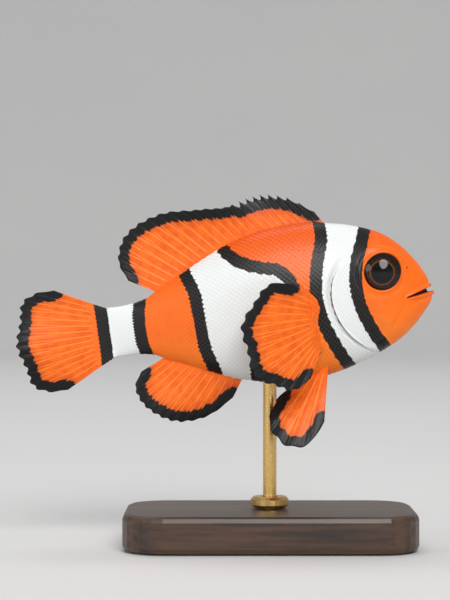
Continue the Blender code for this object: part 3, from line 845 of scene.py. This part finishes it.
# each ring's share of the scale's size, and its drop below the upper face
PLATE_RINGS = ((0, 0), (0.55, 0), (1, 0), (0.97, SCALE_THICKNESS), (0, SCALE_THICKNESS))
SCALE_SUNK = 0.10  # how deep the last scales lie where they run out on the face
SCALED_T, SCALE_ROWS = (0.095, 0.995), 47  # stations with scales, and rows on each side of the midline
ROW_T = np.linspace(0.0, 1.0, 401)
ROW_NUMBERS = np.arange(-SCALE_ROWS - 1, SCALE_ROWS + 1.5, 0.5)
SCALES_SPLIT_T = 0.47  # where the front pieces end and the rear ones begin
LEAST_RISEN = 0.25  # the share of its rise below which a scale is left out


def scale_growth(t):
    """The size of the scales at t, 1 on the flank and smaller towards the head and the tail."""
    return curve(t, (0, 0.12, 0.25, 0.40, 0.70, 0.90, 1.0), (0.55, 0.60, 0.76, 1.0, 1.0, 0.84, 0.78))


def scale_steps(first, last, pitch):
    """Stations from first to last, pitch millimetres apart where the scales are full-grown."""
    stations = [first]
    while stations[-1] < last:
        stations.append(stations[-1] + pitch * float(scale_growth(stations[-1])) / LENGTH_MM)
    return np.array(stations)


def row_angles():
    """The angle of each scale row at each station, counting rows by arc from the lateral midline."""
    sweep = np.linspace(-math.pi / 2 - 0.7, math.pi / 2 + 0.7, 281)
    t, angle = np.meshgrid(np.maximum(ROW_T, 0.002), sweep, indexing="ij")
    steps = np.linalg.norm(np.diff(body_point(t, angle), axis=1), axis=2) * 1000
    arc = np.concatenate([np.zeros((len(ROW_T), 1)), np.cumsum(steps, axis=1)], axis=1)
    arc -= arc[:, [len(sweep) // 2]]
    edge = np.abs(sweep) < math.pi / 2
    girth = (arc[:, edge].max(1) - arc[:, edge].min(1)) / 2
    pitch = SCALE_PITCH[1] * (girth / girth.max()) ** 0.55
    return np.array([np.interp(ROW_NUMBERS * p, a, sweep) for p, a in zip(pitch, arc)])


def staggered(count, rows):
    """(index, row) of every other place, set like roof tiles, with this many rows on each side of row 0."""
    index, row = np.meshgrid(np.arange(count), np.arange(-rows, rows + 1), indexing="ij")
    chosen = (index + row) % 2 == 0
    return index[chosen], row[chosen].astype(float)


def tube_places(rows, sides):
    """How far along a tube each of its points lies, 0 to 1, and round it in radians."""
    along = np.append(np.repeat(np.arange(1, rows + 1), sides), [0, rows + 1]) / (rows + 1)
    return along, 2 * math.pi * np.append(np.tile(np.arange(sides), rows), [0, 0]) / sides


def inside_scaled_skin(t, h, points, angle):
    """How far inside the scaled skin: below 0 on snout, lips, eye and bare edges, 1 where fully scaled."""
    face_t = 0.094 + 0.030 * ramp(h, 0.02, -0.10) - 0.01 * ramp(h, 0.12, 0.2)
    uneven = 1.1 * np.sin(h * 62 + 0.6) + 0.7 * np.sin(h * 151 + 1) + 0.5 * np.sin(h * 420 + t * 700)
    face = np.minimum((t - face_t) * LENGTH_MM + uneven, mouth_distance(t, h)[0] - 2.4) / 5.0
    eye = (eye_distance(points)[0] - EYE_SEEN_MM - 1.15) / 1.2
    behind = gill_distance(t, h)
    gill = np.where(behind < 0, -behind - 0.70, behind + 0.10) / 0.3
    gill = np.where((h > -0.165) & (h < 0.116), gill, FAR_MM)
    rise, past = pectoral_rise(t, h)
    pad = np.where((rise < 1.9) & (past < 1.3) & (t < 0.5), (0.95 - rise) / 0.5, FAR_MM)
    ridge = (math.pi / 2 - np.abs(angle)) * 9
    return np.minimum.reduce([face, eye, gill, pad, ridge])


def plate_shape():
    """The corners of one scale: how far forwards and up as shares of its size, the drop below its
    upper face in millimetres, and the share of its radius."""
    along, turn = tube_places(len(PLATE_RINGS) - 2, SCALE_SIDES)
    share, drop = np.array(PLATE_RINGS)[np.rint(along * (len(PLATE_RINGS) - 1)).astype(int)].T
    turn = turn + math.pi / SCALE_SIDES
    return -0.5 * share * np.cos(turn), 0.5 * share * np.sin(turn), drop, share


PLATE_FORWARD, PLATE_UP, PLATE_DROP, PLATE_SHARE = plate_shape()


def plate_lift(growth, risen):
    """How high over the skin each corner lies, when the scale has risen this far out of it."""
    crown = 0.035 * (1 - (2 * PLATE_UP) ** 2)
    tilt = SCALE_LIFT[0] + (SCALE_LIFT[1] - SCALE_LIFT[0]) * (0.5 - PLATE_FORWARD)
    return (tilt * growth + crown + SCALE_SUNK) * risen - SCALE_SUNK - PLATE_DROP


def plate_marks(t, h, height, pad, risen):
    """What the scales' material reads: mostly the place's own markings, partly the whole scale's.

    The free edge is darker, and fainter where the scale has sunk in; away from it the material paints a faint
    pale sheen.
    """
    bar, middle_point = bar_depth(t, h), -2
    edge = ramp(PLATE_SHARE, 0.5, 1.0) * ramp(PLATE_FORWARD, 0.1, -0.35) * risen**2
    return {"bar": 0.6 * bar + 0.4 * bar[:, middle_point, None], "height": height, "pad": pad, "edge": edge}


PLATE_MAP, UNDER_MAP = 0.0015, 0.0034  # half a scale's width on the map, and how far off its underside is


def add_plates(name, points, marks, home, material):
    """One piece of many scales, from the corners of each and its place on the skin's unwrap."""
    under = PLATE_DROP > 0
    patch = PLATE_MAP * np.stack([-2 * PLATE_FORWARD, 2 * PLATE_UP], -1) * np.where(under, 0.75, 1.0)[:, None]
    patch[:, 0] += UNDER_MAP * under
    faces = copies(tube(len(PLATE_RINGS) - 2, SCALE_SIDES)[0], len(home), len(patch))
    spots = (home + patch).reshape(-1, 2)
    add_piece(name, points, faces, marks, [spots[part] for part in faces], material, "skin", sharp=50)


def add_scales(material):
    """Closed plates that lie like tiles, in four pieces."""
    table = row_angles()
    stations = scale_steps(*SCALED_T, 0.5 * SCALE_PITCH[0])
    index, row0 = staggered(len(stations), SCALE_ROWS)
    t0 = stations[index]
    angle0 = read_table(table, ROW_T, ROW_NUMBERS, t0, row0)
    places = body_point(t0, angle0)
    h0 = places[:, 2] / LENGTH
    inside = inside_scaled_skin(t0, h0, places, angle0)
    keep = inside > LEAST_RISEN
    t0, row0, angle0, h0, inside = (part[keep][:, None] for part in (t0, row0, angle0, h0, inside))
    growth, risen = scale_growth(t0), ramp(inside, 0, 1)

    length = SCALE_SIZE[0] * growth / LENGTH_MM
    t = np.clip(t0 - length * PLATE_FORWARD, 0.02, 1.0)
    angle = read_table(table, ROW_T, ROW_NUMBERS, t, row0 + PLATE_UP * SCALE_SIZE[1] / SCALE_PITCH[1])
    points = skin_surface(t, angle, plate_lift(growth, risen), gill_distance(t0, h0) + 0.3)
    h = body_point(t, angle)[..., 2] / LENGTH
    marks = plate_marks(t, h, h, pectoral_pad(t, h), risen)
    home = skin_map(t0 - 0.4 * length, angle0)
    for side, sign in SIDES:
        turned = home if sign > 0 else home * (1, -1) + (0, 1)
        for part, chosen in (("front", t0[:, 0] < SCALES_SPLIT_T), ("rear", t0[:, 0] >= SCALES_SPLIT_T)):
            chosen_marks = {key: value[chosen] for key, value in marks.items()}
            corners = on_side(points[chosen], sign)
            add_plates(f"scales_{side}_{part}", corners, chosen_marks, turned[chosen], material)


TAIL_SCALES_T = (0.984, 1.062)
TAIL_SCALE_ROWS, TAIL_SCALE_GROWTH = 14, (0.74, 0.52)  # rows on each side of the midline, front and rear size
TAIL_SCALE_CROWDING = 0.62  # their spacing along the fish, as a share of the flank's
TAIL_SCALE_SIZE = (0.85, 2.3)  # length as a share of a flank scale's, and height in rows
TAIL_FAN = (0.080, 0.46)  # half the height of the scaled root at t = 1, and how it grows with t


def tail_root_surface(t, h, lift_mm, sign):
    """Points of one face of the tail fin's root, and of the end of the stalk in front of it."""
    past = np.maximum(t - CAUDAL_ROOT[0], 0)
    across = h / (CAUDAL_ROOT[1] + past * math.tan(math.radians(CAUDAL_SPREAD)))
    share = np.clip((1 - across) / 2, 0, 1)
    v = past / np.cos(np.radians(CAUDAL_SPREAD * across)) / curve(share, *CAUDAL_LENGTH)
    fin = web_half(v) * ramp(t, CAUDAL_ROOT[0] - 0.006, CAUDAL_ROOT[0]) * ramp(np.abs(across), 1.06, 0.98)
    narrowing = np.sqrt(np.clip(1 - (h / half_height(1.0, h)) ** 2, 0, 1))
    stalk = half_width(np.minimum(t, 1.0)) * LENGTH_MM * narrowing - COAT_MM
    stalk = np.maximum(stalk, 0) * ramp(t, 1.030, 0.998)
    return at(t, sign * (np.maximum(fin, stalk) + lift_mm) / 1000 + wave(share, *CAUDAL_WAVE) * v**2, h)


def add_tail_scales(material):
    """Small scales that run out over the root of the tail fin."""
    first, last = TAIL_SCALES_T
    spacing = 0.5 * SCALE_PITCH[0] * TAIL_SCALE_CROWDING / LENGTH_MM
    index, row = staggered(int((last - first) / spacing), TAIL_SCALE_ROWS)
    t0, row0 = first + spacing * index[:, None], row[:, None] / (TAIL_SCALE_ROWS + 0.5)
    fan = TAIL_FAN[0] + TAIL_FAN[1] * (t0 - 1.0)
    uneven = 0.006 * np.sin(row0 * 21) + 0.004 * np.sin(row0 * 47 + 1)
    risen = ramp(t0 + uneven, last + 0.002, last - 0.034) * ramp(np.abs(row0), 1.02, 0.86)
    growth = TAIL_SCALE_GROWTH[0] + (TAIL_SCALE_GROWTH[1] - TAIL_SCALE_GROWTH[0]) * ramp(t0, 1.0, last)

    t = t0 - TAIL_SCALE_SIZE[0] * SCALE_SIZE[0] * growth / LENGTH_MM * PLATE_FORWARD
    tall = TAIL_SCALE_SIZE[1] * fan / (TAIL_SCALE_ROWS + 0.5)
    h = np.clip(row0 * fan + PLATE_UP * tall + row0 * TAIL_FAN[1] * (t - t0), -fan, fan)
    marks = plate_marks(t, h, np.zeros_like(h), np.zeros_like(h), risen)
    home = np.stack([0.05 + 0.9 * (t0 - first) / 0.08, 0.5 + 0.45 * row0], -1)
    for side, sign in SIDES:
        points = to_row(tail_root_surface(t, h, plate_lift(growth, risen) + 0.03, sign))
        add_plates("tail_scales_" + side, points, marks, home, material)


LINE_T = (0.325, 0.80)
LINE_HEIGHT = ((0.30, 0.42, 0.60, 0.82), (0.60, 0.70, 0.73, 0.62))  # (t, share of the back's height)
PORE_MM = (0.62, 0.10, 0.06)  # length, half width and height of each tube
PORE_STEPS, PORE_SIDES = 7, 8


def add_lateral_lines(material):
    """The row of little tubes along each flank, one on each scale that it crosses."""
    length, half_wide, high = PORE_MM
    u, turn = tube_places(PORE_STEPS, PORE_SIDES)
    fat = np.sqrt(np.clip(1 - (2 * u - 1) ** 4, 0, 1))
    t = scale_steps(*LINE_T, SCALE_PITCH[0])[:, None] + length * u / LENGTH_MM
    h = top(t) * curve(t, *LINE_HEIGHT) + half_wide * fat * np.cos(turn) / LENGTH_MM
    points = skin_surface(t, side_angle(t, h), 0.09 + 0.5 * high * u + high * fat * np.sin(turn))
    faces, row, column = tube(PORE_STEPS, PORE_SIDES)
    spots = [np.stack([(i + 1) / (PORE_STEPS + 1), j / PORE_SIDES], -1) for i, j in zip(row, column)]
    faces = copies(faces, *t.shape)
    # edge 0.2 gives the tubes the scales' faint painted pale sheen and no darker rim
    marks = {"bar": bar_depth(t, h), "height": h, "pad": np.zeros_like(h), "edge": np.full_like(h, 0.2)}
    for side, sign in SIDES:
        home = skin_map(t[:, 0], sign * side_angle(t[:, 0], h[:, 0]) + (math.pi if sign < 0 else 0)) % 1.0
        home = home[:, None, None] - PLATE_MAP
        uv = [(home + 2 * PLATE_MAP * part).reshape(-1, *part.shape[1:]) for part in spots]
        add_piece("lateral_line_" + side, on_side(points, sign), faces, marks, uv, material, "skin")


# ---- fins

Ray = namedtuple("Ray", "base way length side bend bury")
BACK, LEFT, UP = np.array(((-1.0, 0.0, 0.0), (0.0, 1.0, 0.0), (0.0, 0.0, 1.0)))


def wave(share, height, turns, phase):
    return height * np.sin(2 * math.pi * turns * share + phase)


def turned(start, end, degrees):
    """Unit vectors turned from start towards end."""
    angle = np.radians(degrees)[:, None]
    return np.cos(angle) * start + np.sin(angle) * end


def median_rays(share, base, height, lean, up):
    """Rays of a fin on the midline; up is 1 on the back and -1 on the belly."""
    t = base[0] + (base[1] - base[0]) * share
    way = turned(up * UP, BACK, curve(share, *lean))
    foot = at(t, 0.0, up * half_height(t, up))
    return Ray(foot, way, curve(share, *height), LEFT, 0.0 * share, -way)


def dorsal_rays(share):
    rays = median_rays(share, DORSAL_BASE, DORSAL_HEIGHT, DORSAL_LEAN, 1)
    lobes = 1 + wave(share, *DORSAL_LOBES) * np.clip((share - DORSAL_SOFT) / DORSAL_LOBES_RISE, 0, 1)
    bend = wave(share, *DORSAL_WAVE) * np.minimum(1, 2.5 * share)
    return rays._replace(length=rays.length * lobes, bend=bend)


def anal_rays(share):
    return median_rays(share, ANAL_BASE, ANAL_HEIGHT, ANAL_LEAN, -1)._replace(bend=wave(share, *ANAL_WAVE))


def caudal_rays(share):
    across = 1 - 2 * share
    foot, way = at(CAUDAL_ROOT[0], 0.0, CAUDAL_ROOT[1] * across), turned(BACK, UP, CAUDAL_SPREAD * across)
    length = curve(share, *CAUDAL_LENGTH) * (1 + wave(share, *CAUDAL_LOBES))
    return Ray(foot, way, length, LEFT, wave(share, *CAUDAL_WAVE), 0 * UP)


def fan_rays(share, roots, plane, inward, spread, length, cup):
    """Rays of a paired fin, whose plane is given by the unit vectors (back, up)."""
    foot = roots[0] + (roots[1] - roots[0]) * share[:, None]
    way = turned(*plane, spread[0] + (spread[1] - spread[0]) * share)
    return Ray(foot, way, length, unit(np.cross(*plane)), cup * np.sin(math.pi * share), inward)


def pectoral_rays(share, sign):
    roots = [at(t, sign * skin_y(t, h), h) for t, h in PECTORAL_ROOT]
    back = math.cos(PECTORAL_OUT) * BACK + sign * math.sin(PECTORAL_OUT) * LEFT
    up = unit(UP - sign * math.sin(PECTORAL_TILT) * LEFT)
    length = curve(share, *PECTORAL_LENGTH) * (1 + wave(share, *PECTORAL_LOBES))
    return fan_rays(share, roots, (back, up), -sign * LEFT, PECTORAL_SPREAD, length, sign * PECTORAL_CUP)


def pelvic_rays(share, sign):
    roots = [at(t, sign * y, belly_h(t, y)) for t, y in PELVIC_ROOT]
    up = math.cos(PELVIC_SPLAY) * UP - sign * math.sin(PELVIC_SPLAY) * LEFT
    length = curve(share, *PELVIC_LENGTH)
    return fan_rays(share, roots, (BACK, up), UP, PELVIC_SPREAD, length, sign * PELVIC_CUP)


FIN_STEPS = 16  # columns from one ray to the next
FIN_ROWS = 48
WEB_MM = 0.09  # half thickness of the membrane
ROOT_MM = 0.60  # and at the fin's root
RIDGE_MM = 0.13  # how far a ray stands out of the membrane
RAY_MM = (0.21, 0.09)  # half width of a ray at its base, and of a branch at the edge
NO_BAR = -50.0  # a depth far outside every bar
PLEAT_MM = 0.06  # how far rays stand to one side, and the web between them to the other


def web_half(v):
    """Half the thickness of a fin's web in millimetres, from v = 0 at its root to 1 at its edge."""
    return WEB_MM + (ROOT_MM - WEB_MM) * (1 - v) ** 5


def fin_relief(off_ray, gap, spiny, v):
    """How much of a ray there is at each place, 0 to 1: soft rays branch twice towards the edge."""
    soft = gap * ~spiny[:, None]
    first, second = 0.21 * soft * ramp(v, 0.28, 0.95), 0.095 * soft * ramp(v, 0.66, 1.0)
    away = off_ray[:, None] * gap
    branches = [away - a * first - b * second for a in (-1, 1) for b in (-1, 1)]
    return hump(np.min(np.abs(branches), axis=0), RAY_MM[0] + (RAY_MM[1] - RAY_MM[0]) * v)


def add_fin(node, rays, count, material, spines=0, barred=False, fleshy=1.5):
    """A thin web with this many raised rays, which begin to stand out fleshy millimetres from the root."""
    columns = (count - 1) * FIN_STEPS + 1
    share = np.linspace(0, 1, columns)
    base, way, length, side, bend, bury = rays(share)
    length = length * LENGTH
    root = base + bury * ROOT_DEPTH

    number = share * (count - 1)
    off_ray = number - np.round(number)
    slack = 1 - np.exp(-np.abs(off_ray) / 0.07)
    scallop = np.sin(math.pi * np.abs(off_ray)) ** 2
    notch = np.where(number < spines - 1, SPINE_NOTCH * (0.45 * slack + 0.55 * scallop), RAY_NOTCH * scallop)
    tip = base + way * (length * (1 - notch))[:, None]

    v = np.linspace(0, 1, FIN_ROWS + 1) ** 0.9
    line = root[:, None] + (tip - root)[:, None] * v[:, None]
    gap = np.linalg.norm(np.gradient(line, axis=0), axis=2) * 1000 * FIN_STEPS
    run = v * length[:, None] * 1000
    ray = fin_relief(off_ray, gap, np.round(number) < spines, v) * ramp(run, fleshy, 2 * fleshy)
    half = (web_half(v) + RIDGE_MM * ray * (1 - 0.5 * v)) * (0.4 + 0.6 * ramp(v, 1.0, 0.94))
    pleat = PLEAT_MM * np.cos(2 * math.pi * off_ray)[:, None] * ramp(v, 0.2, 1.0)
    carried = bend[:, None] * v**2 + pleat / 1000
    points = np.stack([line + side * (carried + sign * half / 1000)[..., None] for sign in (1, -1)])

    t, h = -line[..., 0] / LENGTH, line[..., 2] / LENGTH
    margin = np.min([np.linalg.norm(line - edge, axis=-1) for edge in line[::4, -1]], axis=0) * 1000
    bar = bar_depth(t, h) if barred else np.full_like(t, NO_BAR)
    marks = both_faces({"bar": bar, "margin": margin, "ray": ray, "run": run})
    faces, uv = slab(columns, FIN_ROWS + 1)
    add_piece("rayed_" + node, to_row(points), faces, marks, uv, material, "fin", node)


def fin_material():
    n = Nodes("clownfish_fin")
    ray, run, bar = (n.attribute(name) for name in ("ray", "run", "bar"))
    margin = n.math("ADD", n.attribute("margin"), n.uneven(900, 3, 0.8))
    margin = n.math("ADD", margin, n.times(ray, 0.35))
    web = n.mix(n.step(n.noise(500, 3), 0.35, 0.7), (0.88, 0.150, 0.009), (0.76, 0.105, 0.006))
    colour = n.mix(n.step(ray, 0.15, 0.9), web, (0.95, 0.220, 0.018))
    colour = n.mix(n.step(margin, 4.2, 2.4, 0.0, 0.35), colour, (0.42, 0.045, 0.004))
    colour = n.mix(n.step(margin, 2.5, 2.15), colour, BLACK)
    colour = n.mix(n.step(bar, -BORDER_MM - 0.15, -BORDER_MM + 0.05), colour, BLACK)
    colour = n.mix(n.step(bar, -0.06, 0.08), colour, WHITE)
    rings = n.math("SINE", n.times(run, 2 * math.pi / 0.55))
    normal = n.bump(n.times(rings, n.step(ray, 0.4, 0.9)), 0.00004, 0.5)
    n.set(Base_Color=colour, Normal=normal, Subsurface_Weight=0.12, Subsurface_Scale=0.0006)
    return n.set(Roughness=0.42, Specular_IOR_Level=0.24, Coat_Weight=0.07, Coat_Roughness=0.2)


# ---- eyes


CORNEA_MM = (0.30, 2.3)  # how far the cornea stands out, and its reach from the axis
PUPIL_MM = 2.45
EYE_RINGS, EYE_SIDES = 60, 96


def add_eye(side, material):
    """An eyeball with a domed cornea; its colours go by the distance from its axis."""
    along, turn = tube_places(EYE_RINGS - 1, EYE_SIDES)
    off = EYE_RADIUS_MM * np.sin(math.pi * along)
    outer = along <= 0.5
    out = EYE_DEPTH_MM * np.cos(math.pi * along) + CORNEA_MM[0] * hump(off, CORNEA_MM[1]) * outer
    axis, up = EYE_AXES[side], np.array([0.0, 0.0, 1.0])
    around = np.cross(up, axis) * np.cos(turn)[:, None] + up * np.sin(turn)[:, None]
    points = EYE_CENTRES[side] + (axis * out[:, None] + around * off[:, None]) / 1000
    marks = {"off_axis": np.where(outer, off, EYE_RADIUS_MM)}
    faces = tube(EYE_RINGS - 1, EYE_SIDES)[0]
    add_piece("eyeball_" + side, to_row(points), faces, marks, None, material, "eye", "eye_" + side)


def eye_material():
    n = Nodes("clownfish_eye")
    off = n.attribute("off_axis")
    streaks = n.noise(1500, 4, 0.65)
    iris = n.mix(n.step(streaks, 0.4, 0.65), (0.008, 0.005, 0.003), (0.045, 0.015, 0.005))
    ring = n.mix(n.step(off, PUPIL_MM + 0.40, PUPIL_MM + 0.05), iris, (0.17, 0.048, 0.006))
    colour = n.mix(n.step(off, PUPIL_MM + 0.06, PUPIL_MM - 0.02), ring, (0.002, 0.002, 0.003))
    n.set(Base_Color=n.mix(n.step(off, 3.15, 3.5), colour, (0.006, 0.005, 0.005)))
    return n.set(Roughness=0.10, Specular_IOR_Level=0.16, Coat_Weight=0.36, Coat_Roughness=0.02)


# ---- stand, floor, light, camera


def stand_materials():
    wood = Nodes("dark_wood")
    grain = wood.noise(160, 6, 0.6, wood.stretched(0.25, 3.0, 3.0))
    colour = wood.mix(wood.step(grain, 0.35, 0.68), (0.075, 0.034, 0.015), (0.020, 0.009, 0.005))
    wood.set(Base_Color=colour, Normal=wood.bump(grain, 0.0002, 0.25))
    wood.set(Roughness=0.45, Coat_Weight=0.25, Coat_Roughness=0.3)
    brass = Nodes("brushed_brass")
    brush = brass.noise(300, 3, 0.6, brass.stretched(1.0, 1.0, 40.0))
    brass.set(Base_Color=(0.72, 0.47, 0.17), Metallic=1.0)
    brass.set(Roughness=brass.step(brush, 0.3, 0.7, 0.22, 0.34), Normal=brass.bump(brush, 0.00004, 0.3))
    return wood.material, brass.material


def dress_stand():
    wood, brass = stand_materials()
    for node, material in (("stand_base", wood), ("stand_rod", brass), ("stand_collar", brass)):
        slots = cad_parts[node].data.materials
        slots.clear()
        slots.append(material)


STAGE_FLAT, STAGE_CURL, STAGE_HEIGHT = 1.5, 1.1, 1.5
STAGE_SIDES, STAGE_STEPS = 128, 32


def add_stage():
    """A pale floor that curves up into a backdrop all round the model."""
    n = Nodes("pale_sweep")
    tone = n.mix(n.step(n.noise(6, 3), 0.35, 0.65), (0.645, 0.645, 0.645), (0.655, 0.655, 0.65))
    n.set(Base_Color=tone, Roughness=0.85)
    bend = np.linspace(0, math.pi / 2, STAGE_STEPS + 1)
    reach = np.concatenate([[0.02, 0.3], STAGE_FLAT + STAGE_CURL * np.sin(bend), [STAGE_FLAT + STAGE_CURL]])
    height = np.concatenate([[0.0, 0.0], STAGE_CURL * (1 - np.cos(bend)), [STAGE_HEIGHT]])
    turn = 2 * math.pi * np.arange(STAGE_SIDES) / STAGE_SIDES
    rings = [np.outer(reach, np.cos(turn)), np.outer(reach, np.sin(turn)), np.outer(height, 1 + 0 * turn)]
    points = np.append(np.stack(rings, -1).reshape(-1, 3), [(0.0, 0.0, 0.0)], axis=0)
    sweep = add_mesh("stage_sweep", points, tube(len(reach), STAGE_SIDES)[0][:2])
    sweep.location.z = -0.0002
    sweep.data.materials.append(n.material)


LIGHTS_AIM = Vector((0.0, 0.0, 0.06))


def add_area_light(name, place, size, power):
    data = bpy.data.lights.new(name, "AREA")
    data.shape, data.size, data.energy = "DISK", size, power
    light = add_object(name, data)
    light.location = place
    light.rotation_euler = (LIGHTS_AIM - Vector(place)).to_track_quat("-Z", "Y").to_euler()


def add_lights():
    world = bpy.data.worlds.new("studio")
    bpy.context.scene.world = world
    world.use_nodes = True
    background = world.node_tree.nodes["Background"].inputs
    background["Color"].default_value = (1.0, 1.0, 1.0, 1.0)
    background["Strength"].default_value = 0.36
    add_area_light("key", (0.35, -1.55, 1.20), 1.1, 27.5)
    add_area_light("fill", (-1.6, -1.2, 0.7), 1.0, 8)
    add_area_light("over", (-0.2, 0.7, 2.0), 1.2, 15)


CAMERA_LENS, CAMERA_SENSOR = 120.0, 36.0
VIEW_HEIGHT = 0.1322  # metres across the picture's height, at the fish
VIEW_CENTRE = (-0.00985, 0.0539)


def add_camera():
    data = bpy.data.cameras.new("camera")
    data.lens, data.sensor_width = CAMERA_LENS, CAMERA_SENSOR
    data.clip_start, data.clip_end = 0.01, 20.0
    camera = add_object("camera", data)
    camera.location = (VIEW_CENTRE[0], -CAMERA_LENS / CAMERA_SENSOR * VIEW_HEIGHT, VIEW_CENTRE[1])
    camera.rotation_euler = (math.pi / 2, 0, 0)
    bpy.context.scene.camera = camera


def main():
    bpy.context.scene.view_settings.view_transform = "Standard"
    skin, scales, fin, eye = skin_material(), scale_material(), fin_material(), eye_material()
    add_skin(skin)
    add_round_patch("orbit", (EYE_T, EYE_H), ORBIT_RINGS_MM, ORBIT_SIDES, skin, nostril_cover)
    add_round_patch("nostril", NOSTRIL, NOSTRIL_RINGS_MM, NOSTRIL_SIDES, skin)
    add_gill_edges(skin)
    add_scales(scales)
    add_tail_scales(scales)
    add_lateral_lines(scales)
    add_fin("dorsal_fin", dorsal_rays, DORSAL_SPINES + DORSAL_RAYS, fin, DORSAL_SPINES)
    add_fin("anal_fin", anal_rays, ANAL_RAYS, fin)
    add_fin("caudal_fin", caudal_rays, CAUDAL_RAYS, fin, barred=True, fleshy=2.6)
    for side, sign in SIDES:
        pectoral, pelvic = partial(pectoral_rays, sign=sign), partial(pelvic_rays, sign=sign)
        add_fin("pectoral_fin_" + side, pectoral, PECTORAL_RAYS, fin, fleshy=3.0)
        add_fin("pelvic_fin_" + side, pelvic, PELVIC_RAYS, fin)
        add_eye(side, eye)
    dress_stand()
    add_stage()
    add_lights()
    add_camera()


main()
